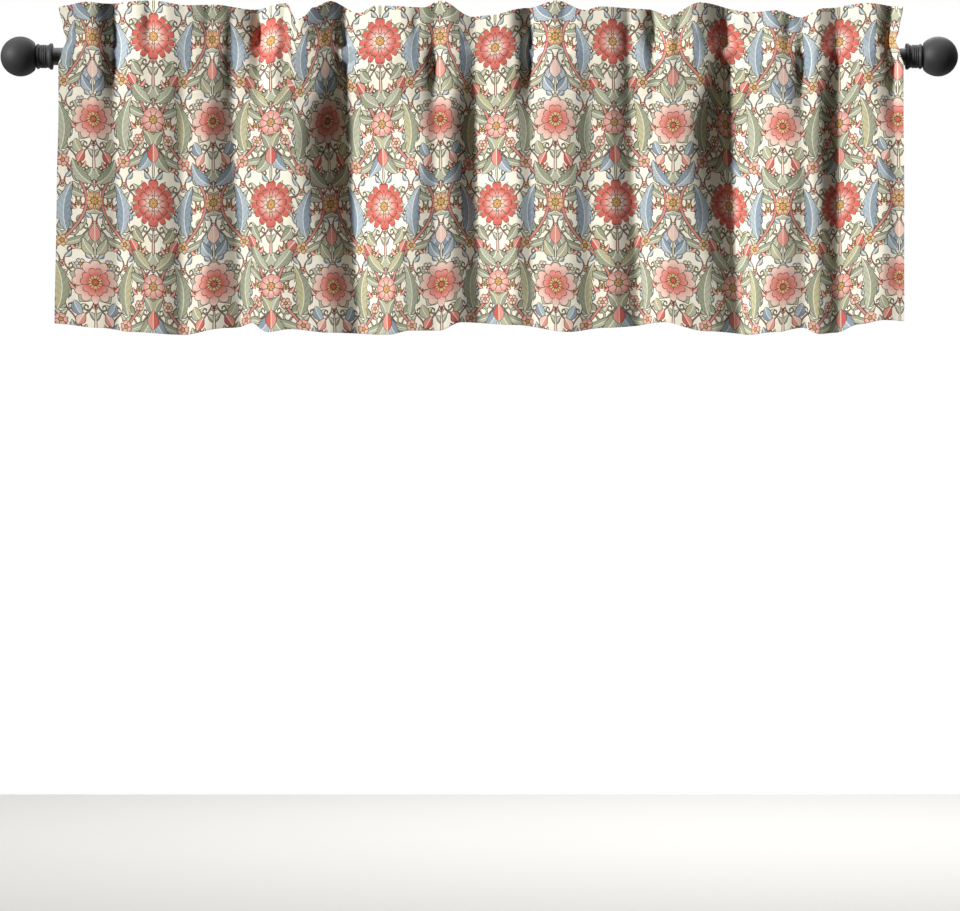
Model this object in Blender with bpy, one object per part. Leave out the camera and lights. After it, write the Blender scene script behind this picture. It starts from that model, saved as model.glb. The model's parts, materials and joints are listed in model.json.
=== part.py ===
"""A short rod-pocket curtain valance hanging on a straight rod with ball finials.

Metres, +Z up. X runs along the rod and the cloth's printed face looks towards -Y.
The origin is the middle of the rod's axis.
"""

import math
from typing import NamedTuple

import bmesh
import bpy
import numpy as np

MM = 0.001

# Rod and finials
ROD_RADIUS = 12.5 * MM
ROD_HALF_LENGTH = 627.7 * MM
ROD_EDGE_BREAK = 0.8 * MM
COLLAR_FACE = 610.0 * MM  # where each finial's collar begins, measured from the middle
COLLAR_LENGTH = 24.0 * MM
FLANGE_RADIUS = 18.9 * MM
FLANGE_LENGTH = 4.5 * MM
FLANGE_EDGE = 0.9 * MM
WAIST_RADIUS = 16.1 * MM
BEAD_RADIUS = 18.2 * MM
BEAD_LENGTH = 5.6 * MM
RING_RADIUS = 16.9 * MM
RING_START = 9.0 * MM
RING_PITCH = 2.9 * MM
RING_COUNT = 3
SOCKET_DEPTH = 18.0 * MM
BALL_RADIUS = 28.6 * MM
BALL_NECK_RADIUS = 15.7 * MM
BALL_NECK_LENGTH = 0.8 * MM
BALL_NECK_FLARE = 0.6 * MM
BALL_CENTRE = 22.2 * MM  # from the ball's seat on its collar
BALL_STEPS = 14
SPIGOT_RADIUS = 5.0 * MM
SPIGOT_LENGTH = 4.5 * MM
FIT_GAP = 0.3 * MM  # between every two pieces that meet
ROUND_STEPS = 32

# Cloth, as it hangs
LEFT_EDGE = -600.0 * MM
RIGHT_EDGE = 604.0 * MM
HEADER_TOP = 68.0 * MM
UPPER_SEAM = 22.0 * MM
LOWER_SEAM = -56.0 * MM
HEM_LEVEL = -389.0 * MM
THICKNESS = 2.0 * MM
HEM_EXTRA = 0.8 * MM  # the turned hem is thicker than the single cloth
HEADER_EXTRA = 0.4 * MM
POCKET_BULGE = 4.0 * MM  # how far the pocket's back stands off the rod
LOBE_RISE = 3.0 * MM  # how far the cloth rounds forward between two full-height folds
FULL_HEIGHT = 9.0  # least mid depth, in millimetres, of a full-height fold
BACK_FOLLOWS = 0.3  # share of a fold's depth that the pocket's back takes up
STATION_PITCH = 13.5 * MM
EDGE_REACH = 45.0 * MM  # how far in from a side edge its pinch is felt

# Folds: each goes back steeply on its left and comes forward again in a long slope
SLOPE_POWER = 1.45  # how much the steep slope steepens towards its valley
RETURN_POWER = 1.1  # the same for the long slope
CREASE_ROUNDING = 2.5 * MM
DEEPEST_LEVEL = -120.0 * MM
POCKET_LEVEL = -10.0 * MM
GATHERED_LEVEL = 30.0 * MM
WIDTH_SHARES = (0.85, 1.0, 0.58, 0.85)  # of a fold's width, from the hem up to the gathers

ROD_ROWS = 4  # rows of the pocket that pass the rod
ROW_STEP = math.radians(30)  # between them, seen from its axis
CLEAR_RADIUS = (ROD_RADIUS + FIT_GAP + THICKNESS / 2) / math.cos(ROW_STEP / 2)

# Rows of the section, as shares of the drop and of the header
DROP_SHARES = (0.0, 0.07, 0.22, 0.40, 0.58, 0.76, 0.90, 1.0)
HEADER_SHARES = (0.0, 0.35, 0.70, 1.0)
SLACK_LEVELS = (-39.0 * MM, -22.0 * MM)


class Fold(NamedTuple):
    """One valley between two crests. All values are in millimetres."""

    at_rod: float  # where the valley lies at the rod
    at_hem: float  # where it lies at the hem
    run_in: float  # width of the steep slope that goes back, on the left
    run_out: float  # width of the long slope that comes forward again
    head: float  # depth from the upper seam to the top edge
    rod: float  # depth at the rod
    mid: float  # depth a third of the way down
    hem: float  # depth at the hem
    taper: float = 1.0  # share of its width that is left at the hem


FOLDS = (
    Fold(-522, -514, 32, 60, 15, 10, 7, 5),
    Fold(-471, -471, 24, 28, 5.5, 1, 0, 0),
    Fold(-423, -424, 34, 33, 1, 2, 6, 5.5),
    Fold(-387, -387, 24, 26, 3, 0.5, 0, 0),
    Fold(-354, -340, 36, 84, 9, 8.5, 14, 10.5),
    Fold(-314, -313, 42, 34, 17, 7.5, 0, 0),
    Fold(-280, -280, 24, 28, 5, 2, 0.5, 0),
    Fold(-192, -171, 66, 115, 19, 13.5, 36, 12, 0.55),
    Fold(-89, -89, 24, 24, 4.5, 0.5, 0, 0),
    Fold(-64, -62, 26, 24, 6, 6.5, 4.5, 2),
    Fold(-6, 1, 42, 60, 7, 8, 20, 12),
    Fold(72, 76, 33, 50, 14.5, 11, 7, 6),
    Fold(120, 120, 24, 24, 4, 0.5, 0, 0),
    Fold(157, 160, 30, 26, 1, 1.5, 6, 4.5),
    Fold(214, 229, 32, 60, 7, 5.5, 11, 9.5),
    Fold(250, 252, 30, 34, 13, 4.5, 0, 0),
    Fold(284, 284, 24, 28, 6.5, 1, 0, 0),
    Fold(355, 373, 60, 105, 17, 13.5, 34, 11.5, 0.55),
    Fold(396, 396, 24, 24, 3.5, 0.5, 0, 0),
    Fold(442, 442, 24, 24, 5.5, 1, 0, 0),
    Fold(461, 464, 26, 24, 7, 7, 5.5, 3.5),
    Fold(512, 515, 36, 66, 8, 8.5, 19, 10),
    Fold(590, 594, 26, 14, 7, 6.5, 2.5, 1),
)


class EdgePoint(NamedTuple):
    """A point of the top edge or the hem, in millimetres along and above its mean."""

    along: float
    rise: float


HEADER_EDGE = (
    EdgePoint(-600, 1),
    EdgePoint(-560, 8),
    EdgePoint(-537, 6),
    EdgePoint(-471, 10),
    EdgePoint(-417, 3),
    EdgePoint(-377, 4),
    EdgePoint(-325, -2),
    EdgePoint(-276, 6),
    EdgePoint(-261, -19),
    EdgePoint(-250, -13),
    EdgePoint(-237, 0),
    EdgePoint(-213, 10),
    EdgePoint(-172, -7),
    EdgePoint(-148, 3),
    EdgePoint(-79, 0),
    EdgePoint(-56, 10),
    EdgePoint(-10, -13),
    EdgePoint(13, -11),
    EdgePoint(70, 0),
    EdgePoint(110, 10),
    EdgePoint(150, -4),
    EdgePoint(173, 1),
    EdgePoint(242, -2),
    EdgePoint(270, -11),
    EdgePoint(316, 7),
    EdgePoint(390, -6),
    EdgePoint(425, -4),
    EdgePoint(459, -14),
    EdgePoint(493, -1),
    EdgePoint(551, 6),
    EdgePoint(604, 1),
)

HEM_EDGE = (
    EdgePoint(-606, 8),
    EdgePoint(-548, 1),
    EdgePoint(-500, -5),
    EdgePoint(-422, -9),
    EdgePoint(-365, 1),
    EdgePoint(-331, 8),
    EdgePoint(-302, -5),
    EdgePoint(-271, -1),
    EdgePoint(-228, -6),
    EdgePoint(-142, -9),
    EdgePoint(-100, -3),
    EdgePoint(-60, -3),
    EdgePoint(-30, 9),
    EdgePoint(47, 5),
    EdgePoint(127, -5),
    EdgePoint(173, 1),
    EdgePoint(264, 9),
    EdgePoint(316, -4),
    EdgePoint(379, -9),
    EdgePoint(425, -5),
    EdgePoint(459, 1),
    EdgePoint(482, -8),
    EdgePoint(505, -6),
    EdgePoint(539, 6),
    EdgePoint(573, 12),
    EdgePoint(606, 11),
)


class Level(NamedTuple):
    """A height on the cloth, with what changes there, all in millimetres."""

    height: float
    crest: float  # how far forward the crests stand, towards -Y
    left: float  # sideways shift of the left edge
    right: float  # sideways shift of the right edge


LEVELS = (
    Level(-389, 20, -6, 2.5),
    Level(-200, 20, -3, 2.5),
    Level(-70, 23, 0, 1),
    Level(-14, 26.5, 0, 1),
    Level(2, 26.5, 4, -4),
    Level(22, 22, 11, -10),
    Level(40, 19.6, 6, -5),
    Level(68, 19, 0, 0),
)


class ClothGrid(NamedTuple):
    """Middle surface of the cloth: rows by stations by XYZ."""

    front: np.ndarray  # the whole height, hem first
    back: np.ndarray  # the pocket's back, between its two seams
    lower_seam: int  # row of the lower seam in front
    upper_seam: int  # row of the upper seam in front


def eased(value, places, amounts):
    """Interpolate a table with a smooth step between its rows."""
    places = np.asarray(places, float)
    amounts = np.asarray(amounts, float)
    value = np.clip(value, places[0], places[-1])
    row = np.clip(np.searchsorted(places, value, side="right") - 1, 0, len(places) - 2)
    share = (value - places[row]) / (places[row + 1] - places[row])
    share = share * share * (3 - 2 * share)
    return amounts[row] + share * (amounts[row + 1] - amounts[row])


def edge_height(along, mean, points):
    """Height of a wavy edge at each place along the rod."""
    places = [point.along * MM for point in points]
    rises = [point.rise * MM for point in points]
    return mean + eased(along, places, rises)


def level_value(height, column):
    """One column of the levels table at each height, in metres."""
    heights = [level.height * MM for level in LEVELS]
    return eased(height, heights, [getattr(level, column) * MM for level in LEVELS])


def fold_drift(along, height):
    """How far the cloth's threads lean sideways below the rod, following the folds."""
    places = [LEFT_EDGE, *(fold.at_rod * MM for fold in FOLDS), RIGHT_EDGE]
    leans = [0.0, *((fold.at_hem - fold.at_rod) * MM for fold in FOLDS), 0.0]
    share = np.clip(height / HEM_LEVEL, 0, 1)
    return share * np.interp(along, places, leans)


def lobe_rise(along):
    """Soft rounding of the cloth from each full-height fold to the next."""
    valleys = [fold.at_rod * MM for fold in FOLDS if fold.mid >= FULL_HEIGHT]
    bounds = [LEFT_EDGE, *valleys, RIGHT_EDGE]
    phase = np.interp(along, bounds, np.arange(len(bounds)))
    return LOBE_RISE * np.sin(np.pi * (phase % 1)) ** 2


def fold_depth(along, height):
    """How far the cloth lies behind its crests. along is the place at the rod."""
    heights = (HEM_LEVEL, DEEPEST_LEVEL, POCKET_LEVEL, GATHERED_LEVEL)
    width = eased(height, heights, WIDTH_SHARES)
    depth = -lobe_rise(along) * np.ones(np.shape(height))
    for fold in FOLDS:
        offset = along - fold.at_rod * MM
        rounded = np.hypot(offset, CREASE_ROUNDING) - CREASE_ROUNDING
        taper = eased(height, heights, (fold.taper, 1.0, 1.0, 1.0))
        run = np.where(offset < 0, fold.run_in, fold.run_out) * width * taper * MM
        power = np.where(offset < 0, SLOPE_POWER, RETURN_POWER)
        shape = np.clip(1 - rounded / run, 0, 1) ** power
        depths = [value * MM for value in (fold.hem, fold.mid, fold.rod, fold.head)]
        depth += shape * eased(height, heights, depths)
    return depth


def stations():
    """Places along the rod where the cloth has a section, one on each fold's valley."""
    count = round((RIGHT_EDGE - LEFT_EDGE) / STATION_PITCH)
    places = np.linspace(LEFT_EDGE, RIGHT_EDGE, count + 1)
    for fold in FOLDS:
        nearest = int(np.argmin(np.abs(places - fold.at_rod * MM)))
        places[nearest] = fold.at_rod * MM
    return places


def place_across(along, height):
    """X of a thread at a height: its place at the rod, its lean and the edges' pinch."""
    near_left = np.clip(1 - (along - LEFT_EDGE) / EDGE_REACH, 0, 1)
    near_right = np.clip(1 - (RIGHT_EDGE - along) / EDGE_REACH, 0, 1)
    return (
        along
        + fold_drift(along, height)
        + near_left * level_value(height, "left")
        + near_right * level_value(height, "right")
    )


def rod_clearance(height):
    """Least distance in Y from the rod's axis to the cloth's middle surface."""
    return np.sqrt(np.clip(CLEAR_RADIUS**2 - height**2, 0, None))


def cloth_grid():
    """Middle surface of the whole cloth, from the tables above."""
    along = stations()
    header = edge_height(along, HEADER_TOP, HEADER_EDGE)
    hem = edge_height(along, HEM_LEVEL, HEM_EDGE)
    angles = np.arange(ROD_ROWS, 0, -1) * ROW_STEP
    levels = [*SLACK_LEVELS, *(CLEAR_RADIUS * np.cos(angles))]
    rows = [hem + share * (LOWER_SEAM - hem) for share in DROP_SHARES]
    rows += [np.full_like(along, level) for level in levels]
    rows += [UPPER_SEAM + share * (header - UPPER_SEAM) for share in HEADER_SHARES]
    height = np.array(rows)
    across = place_across(along, height)
    depth = fold_depth(along, height)
    front_y = depth - level_value(height, "crest")
    clear = rod_clearance(height)
    front_y = np.where(clear > 0, np.minimum(front_y, -clear), front_y)
    front = np.stack([across, front_y, height], axis=-1)

    lower = len(DROP_SHARES) - 1
    upper = lower + len(levels) + 1
    inner = slice(lower, upper + 1)
    share = (height[inner] - LOWER_SEAM) / (UPPER_SEAM - LOWER_SEAM)
    seams = front_y[lower] + share * (front_y[upper] - front_y[lower])
    billow = np.sin(np.pi * share)
    stand_off = ROD_RADIUS + POCKET_BULGE + BACK_FOLLOWS * depth[inner]
    back_y = seams + billow * (stand_off - seams)
    back_y[1:-1] = np.maximum(back_y[1:-1], clear[inner][1:-1])
    back = np.stack([across[inner], back_y, height[inner]], axis=-1)
    return ClothGrid(front, back, lower, upper)


def surface_normals(grid):
    """Unit normals of a grid of points, pointing towards +Y."""
    normals = np.cross(np.gradient(grid, axis=0), np.gradient(grid, axis=1))
    return normals / np.linalg.norm(normals, axis=-1, keepdims=True)


def half_thickness(cloth):
    """Half the cloth's thickness at each row of the front."""
    half = np.full(len(cloth.front), THICKNESS / 2)
    half[:2] += HEM_EXTRA / 2
    half[cloth.upper_seam + 1 :] += HEADER_EXTRA / 2
    return half[:, None, None]


def add_rows(mesh, points):
    """Add a grid of points to the mesh as rows of vertices."""
    return [[mesh.verts.new(point) for point in row] for row in points]


def bridge(mesh, rows):
    """Faces between neighbouring rows of vertices."""
    for low, high in zip(rows, rows[1:]):
        for i in range(len(low) - 1):
            mesh.faces.new((low[i], low[i + 1], high[i + 1], high[i]))


def close_end(mesh, outer_front, outer_back, inner_front, inner_back, cloth, end):
    """Close one side edge of the cloth, with the pocket's mouth left open."""
    lower, upper = cloth.lower_seam, cloth.upper_seam
    for row in range(len(outer_front) - 1):
        low_front, high_front = outer_front[row][end], outer_front[row + 1][end]
        low_back, high_back = outer_back[row][end], outer_back[row + 1][end]
        if lower <= row < upper:
            k = row - lower
            mesh.faces.new((low_front, high_front, inner_front[k + 1][end], inner_front[k][end]))
            mesh.faces.new((inner_back[k][end], inner_back[k + 1][end], high_back, low_back))
        elif row == lower - 1:
            mesh.faces.new((low_front, high_front, inner_front[0][end], high_back, low_back))
        elif row == upper:
            mesh.faces.new((low_front, high_front, high_back, low_back, inner_front[-1][end]))
        else:
            mesh.faces.new((low_front, high_front, high_back, low_back))


def valance_mesh():
    """The cloth as one closed body: header, pocket round the rod, drop and hem."""
    cloth = cloth_grid()
    lower, upper = cloth.lower_seam, cloth.upper_seam
    normals = surface_normals(cloth.front)
    back_normals = surface_normals(cloth.back)
    half = half_thickness(cloth)
    face = cloth.front - normals * half
    reverse = cloth.front + normals * half
    reverse[lower + 1 : upper] = (cloth.back + back_normals * THICKNESS / 2)[1:-1]
    pocket_front = (cloth.front + normals * half)[lower + 1 : upper]
    pocket_back = (cloth.back - back_normals * THICKNESS / 2)[1:-1]

    mesh = bmesh.new()
    outer_front = add_rows(mesh, face)
    outer_back = add_rows(mesh, reverse)
    low_seam = add_rows(mesh, cloth.front[lower : lower + 1])
    high_seam = add_rows(mesh, cloth.front[upper : upper + 1])
    inner_front = low_seam + add_rows(mesh, pocket_front) + high_seam
    inner_back = low_seam + add_rows(mesh, pocket_back) + high_seam
    for rows in (outer_front, outer_back, inner_front, inner_back):
        bridge(mesh, rows)
    bridge(mesh, [outer_front[0], outer_back[0]])
    bridge(mesh, [outer_front[-1], outer_back[-1]])
    for end in (0, -1):
        close_end(mesh, outer_front, outer_back, inner_front, inner_back, cloth, end)
    bmesh.ops.triangulate(mesh, faces=[face for face in mesh.faces if len(face.verts) > 4])
    bmesh.ops.recalc_face_normals(mesh, faces=mesh.faces)
    return mesh


def turned_mesh(profile, side):
    """Turn a closed profile of (distance along X, radius) points round the rod's axis."""
    mesh = bmesh.new()
    verts = [mesh.verts.new((side * along, 0, radius)) for along, radius in profile]
    edges = [mesh.edges.new((a, b)) for a, b in zip(verts, verts[1:])]
    if profile[0][1] > 0:
        edges.append(mesh.edges.new((verts[-1], verts[0])))
    bmesh.ops.spin(
        mesh,
        geom=verts + edges,
        axis=(1, 0, 0),
        cent=(0, 0, 0),
        angle=math.tau,
        steps=ROUND_STEPS,
        use_merge=True,
    )
    bmesh.ops.remove_doubles(mesh, verts=mesh.verts, dist=0.01 * MM)
    bmesh.ops.recalc_face_normals(mesh, faces=mesh.faces)
    return mesh


def rod_profile():
    """Half outline of the rod, with its sharp end edges broken."""
    end = ROD_HALF_LENGTH
    return [
        (-end, 0.0),
        (-end, ROD_RADIUS - ROD_EDGE_BREAK),
        (-end + ROD_EDGE_BREAK, ROD_RADIUS),
        (end - ROD_EDGE_BREAK, ROD_RADIUS),
        (end, ROD_RADIUS - ROD_EDGE_BREAK),
        (end, 0.0),
    ]


def collar_profile():
    """Outline of a collar: flange, flare, ringed waist and bead, with the rod's socket."""
    start, end = COLLAR_FACE, COLLAR_FACE + COLLAR_LENGTH
    bead = end - BEAD_LENGTH
    outline = [
        (start, FLANGE_RADIUS - FLANGE_EDGE),
        (start + FLANGE_EDGE, FLANGE_RADIUS),
        (start + FLANGE_LENGTH - FLANGE_EDGE, FLANGE_RADIUS),
        (start + FLANGE_LENGTH, FLANGE_RADIUS - FLANGE_EDGE),
        (start + RING_START - RING_PITCH / 2, RING_RADIUS),
    ]
    for i in range(RING_COUNT):
        left = start + RING_START + i * RING_PITCH
        outline.append((left, WAIST_RADIUS))
        outline.append((left + 0.3 * RING_PITCH, RING_RADIUS))
        outline.append((left + 0.7 * RING_PITCH, RING_RADIUS))
    outline += [
        (bead, WAIST_RADIUS),
        (bead + 0.2 * BEAD_LENGTH, BEAD_RADIUS - FLANGE_EDGE / 2),
        (bead + 0.4 * BEAD_LENGTH, BEAD_RADIUS),
        (bead + 0.7 * BEAD_LENGTH, BEAD_RADIUS - FLANGE_EDGE / 2),
        (end, BALL_NECK_RADIUS),
        (end, SPIGOT_RADIUS + FIT_GAP),
        (start + SOCKET_DEPTH, SPIGOT_RADIUS + FIT_GAP),
        (start + SOCKET_DEPTH, ROD_RADIUS + FIT_GAP),
        (start, ROD_RADIUS + FIT_GAP),
    ]
    return outline


def ball_profile():
    """Half outline of a ball finial, from its spigot's tip to its outer pole."""
    seat = COLLAR_FACE + COLLAR_LENGTH + FIT_GAP
    centre = seat + BALL_CENTRE
    tip = seat - SPIGOT_LENGTH
    outline = [
        (tip, 0.0),
        (tip, SPIGOT_RADIUS - FIT_GAP),
        (tip + FIT_GAP, SPIGOT_RADIUS),
        (seat, SPIGOT_RADIUS),
        (seat, BALL_NECK_RADIUS),
        (seat + BALL_NECK_LENGTH, BALL_NECK_RADIUS + BALL_NECK_FLARE),
    ]
    first = math.acos((2 * BALL_NECK_LENGTH - BALL_CENTRE) / BALL_RADIUS)
    for i in range(BALL_STEPS):
        angle = first * (1 - i / BALL_STEPS)
        along, radius = math.cos(angle), math.sin(angle)
        outline.append((centre + BALL_RADIUS * along, BALL_RADIUS * radius))
    outline.append((centre + BALL_RADIUS, 0.0))
    return outline


def finish(name, colour, roughness, metallic):
    """A plain material for one sub-part."""
    material = bpy.data.materials.new(name)
    material.use_nodes = True
    shader = material.node_tree.nodes["Principled BSDF"]
    shader.inputs["Base Color"].default_value = (*colour, 1)
    shader.inputs["Roughness"].default_value = roughness
    shader.inputs["Metallic"].default_value = metallic
    material.diffuse_color = (*colour, 1)
    return material


def add_object(name, built, material, sharp_over):
    """Make a named object from a bmesh, shaded smooth but for its sharp edges."""
    data = bpy.data.meshes.new(name)
    built.to_mesh(data)
    built.free()
    data.shade_smooth()
    data.set_sharp_from_angle(angle=math.radians(sharp_over))
    data.materials.append(material)
    bpy.context.scene.collection.objects.link(bpy.data.objects.new(name, data))


def main():
    """Clear the scene and build the valance, its rod and the two finials."""
    for old in list(bpy.data.objects):
        bpy.data.objects.remove(old, do_unlink=True)
    add_object("valance", valance_mesh(), finish("printed_cloth", (0.62, 0.52, 0.42), 0.85, 0), 60)
    black = (0.018, 0.018, 0.02)
    add_object("rod", turned_mesh(rod_profile(), 1), finish("rod_black", black, 0.42, 0.7), 40)
    for side, word in ((-1, "left"), (1, "right")):
        collar = turned_mesh(collar_profile(), side)
        add_object(f"finial_collar_{word}", collar, finish(f"collar_black_{word}", black, 0.4, 0.7), 40)
        ball = turned_mesh(ball_profile(), side)
        add_object(f"finial_ball_{word}", ball, finish(f"ball_black_{word}", black, 0.38, 0.5), 40)


main()
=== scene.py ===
"""Looks of a short rod-pocket blackout valance on a black rod with ball finials.

Metres, +Z up, X along the rod, and the printed face of the cloth towards -Y. The
origin is the middle of the rod's axis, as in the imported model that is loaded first.
"""

from __future__ import annotations

import json
import logging
import math
from dataclasses import dataclass, field
from enum import Enum
from typing import NamedTuple, Sequence, Union

import bmesh
import bpy
import numpy as np
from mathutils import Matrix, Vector

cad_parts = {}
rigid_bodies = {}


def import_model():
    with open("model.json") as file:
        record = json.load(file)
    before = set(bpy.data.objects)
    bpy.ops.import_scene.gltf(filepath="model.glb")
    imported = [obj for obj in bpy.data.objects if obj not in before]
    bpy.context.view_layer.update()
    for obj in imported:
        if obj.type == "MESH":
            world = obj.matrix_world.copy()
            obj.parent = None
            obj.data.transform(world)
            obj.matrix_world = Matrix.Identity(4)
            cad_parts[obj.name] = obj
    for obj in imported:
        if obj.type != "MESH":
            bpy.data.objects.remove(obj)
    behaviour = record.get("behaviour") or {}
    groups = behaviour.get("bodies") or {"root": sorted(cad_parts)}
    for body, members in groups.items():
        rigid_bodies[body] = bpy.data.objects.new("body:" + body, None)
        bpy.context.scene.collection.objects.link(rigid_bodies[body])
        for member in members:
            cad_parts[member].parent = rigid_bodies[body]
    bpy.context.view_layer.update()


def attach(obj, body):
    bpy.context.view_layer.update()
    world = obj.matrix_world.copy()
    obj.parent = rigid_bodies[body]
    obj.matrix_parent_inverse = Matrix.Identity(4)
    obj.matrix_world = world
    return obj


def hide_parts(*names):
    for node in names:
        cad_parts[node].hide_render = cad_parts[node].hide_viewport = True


LOG = logging.getLogger("valance")
MM = 0.001
Colour = tuple[float, float, float]


class Slot(Enum):
    """Material slots of the record."""

    CLOTH = "printed_cloth"
    ROD = "rod_black"
    FINIAL = "finial_black"


class Side(Enum):
    """The two ends of the rod."""

    LEFT = -1
    RIGHT = 1


def ink(red: int, green: int, blue: int) -> Colour:
    """A dye as linear light, from the 0 to 255 values it has on screen."""
    shares = (red / 255, green / 255, blue / 255)
    return tuple(s / 12.92 if s <= 0.04045 else ((s + 0.055) / 1.055) ** 2.4 for s in shares)


# Node graphs


class Wire:
    """A number, vector or colour on its way between nodes. Arithmetic on it adds nodes."""

    def __init__(self, graph: "Graph", socket: bpy.types.NodeSocket) -> None:
        """Remember the graph and the socket that the value comes from."""
        self.graph = graph
        self.socket = socket

    def __add__(self, other: "Value") -> "Wire":
        """Sum of two numbers."""
        return self.graph.math("ADD", self, other)

    def __sub__(self, other: "Value") -> "Wire":
        """Difference of two numbers."""
        return self.graph.math("SUBTRACT", self, other)

    def __rsub__(self, other: "Value") -> "Wire":
        """Difference with this number taken away."""
        return self.graph.math("SUBTRACT", other, self)

    def __mul__(self, other: "Value") -> "Wire":
        """Product of two numbers."""
        return self.graph.math("MULTIPLY", self, other)

    def __truediv__(self, other: "Value") -> "Wire":
        """Quotient of two numbers."""
        return self.graph.math("DIVIDE", self, other)

    def __rtruediv__(self, other: "Value") -> "Wire":
        """Quotient of a number by this one."""
        return self.graph.math("DIVIDE", other, self)

    def __abs__(self) -> "Wire":
        """Size of a number without its sign."""
        return self.graph.math("ABSOLUTE", self)


Value = Union[Wire, float]


class Graph:
    """Adds nodes to a tree in the order in which they are worked out."""

    def __init__(self, tree: bpy.types.NodeTree) -> None:
        """Start on a tree."""
        self.tree = tree

    def node(self, kind: str, inputs: dict[str, object] | None = None, **settings: object) -> bpy.types.Node:
        """Add a node.

        Args:
            kind: Blender's name for the type of node.
            inputs: Wires or plain values by the identifier of the input.
            settings: Properties of the node.

        Returns:
            The new node.
        """
        made = self.tree.nodes.new(kind)
        for name, value in settings.items():
            setattr(made, name, value)
        for name, value in (inputs or {}).items():
            socket = next(s for s in made.inputs if s.identifier == name)
            if isinstance(value, Wire):
                self.tree.links.new(value.socket, socket)
            elif hasattr(value, "__len__") and socket.type == "RGBA" and len(value) == 3:
                socket.default_value = (*value, 1.0)
            else:
                socket.default_value = value
        return made

    def out(self, made: bpy.types.Node, identifier: str) -> Wire:
        """The output of a node with this identifier."""
        return Wire(self, next(s for s in made.outputs if s.identifier == identifier))

    def math(self, operation: str, *values: Value) -> Wire:
        """One math node on up to three numbers."""
        names = ("Value", "Value_001", "Value_002")
        made = self.node("ShaderNodeMath", dict(zip(names, values)), operation=operation)
        return self.out(made, "Value")

    def rise(self, value: Value, start: Value, stop: Value) -> Wire:
        """A share that eases from 0 at start to 1 at stop, and stays there."""
        ends = {"Value": value, "From Min": start, "From Max": stop}
        made = self.node("ShaderNodeMapRange", ends, clamp=False, interpolation_type="SMOOTHSTEP")
        return self.out(made, "Result")

    def mix(self, share: Value, low: object, high: object) -> Wire:
        """One colour over another."""
        parts = {"Factor_Float": share, "A_Color": low, "B_Color": high}
        return self.out(self.node("ShaderNodeMix", parts, data_type="RGBA"), "Result_Color")

    def split(self, vector: Wire) -> tuple[Wire, Wire, Wire]:
        """The three numbers of a vector."""
        made = self.node("ShaderNodeSeparateXYZ", {"Vector": vector})
        return self.out(made, "X"), self.out(made, "Y"), self.out(made, "Z")

    def join(self, x: Value, y: Value, z: Value = 0.0) -> Wire:
        """A vector of three numbers."""
        made = self.node("ShaderNodeCombineXYZ", {"X": x, "Y": y, "Z": z})
        return self.out(made, "Vector")

    def curve(self, value: Value, points: Sequence[tuple[float, float]]) -> Wire:
        """A smooth curve through a few points, level beyond its ends.

        Args:
            value: Where the curve is read.
            points: Its places and heights.

        Returns:
            The height there.
        """
        made = self.node("ShaderNodeFloatCurve", {"Value": value})
        mapping = made.mapping
        mapping.extend = "HORIZONTAL"
        mapping.clip_min_y = -1.0
        mapping.clip_max_y = 2.0
        line = mapping.curves[0].points
        for place, height in points[1:-1]:
            line.new(place, height)
        for point, (place, height) in zip(line, points):
            point.location = (place, height)
        mapping.update()
        return self.out(made, "Value")

    def noise(self, vector: Wire, scale: float, detail: float = 2.0, roughness: float = 0.5) -> Wire:
        """Noise from 0 to 1."""
        parts = {"Vector": vector, "Scale": scale, "Detail": detail, "Roughness": roughness}
        return self.out(self.node("ShaderNodeTexNoise", parts), "Fac")


# Print: motifs, each a node group that is made once and drawn many times

OUTLINE = ink(66, 54, 44)
GROUND = ink(250, 243, 222)
CORAL = ink(208, 98, 86)
ROSE = ink(228, 150, 136)
BLUSH = ink(242, 206, 190)
SAGE = ink(184, 186, 162)
MOSS = ink(156, 160, 134)
OLIVE = ink(192, 186, 146)
SKY = ink(174, 187, 195)
SLATE = ink(140, 156, 170)
OCHRE = ink(212, 170, 96)
STRAW = ink(236, 210, 150)
STEM = ink(208, 140, 128)

LINE = 0.33  # half width of a drawn line, in millimetres
SOFT = 0.32  # width over which one dye gives way to the next


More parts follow.
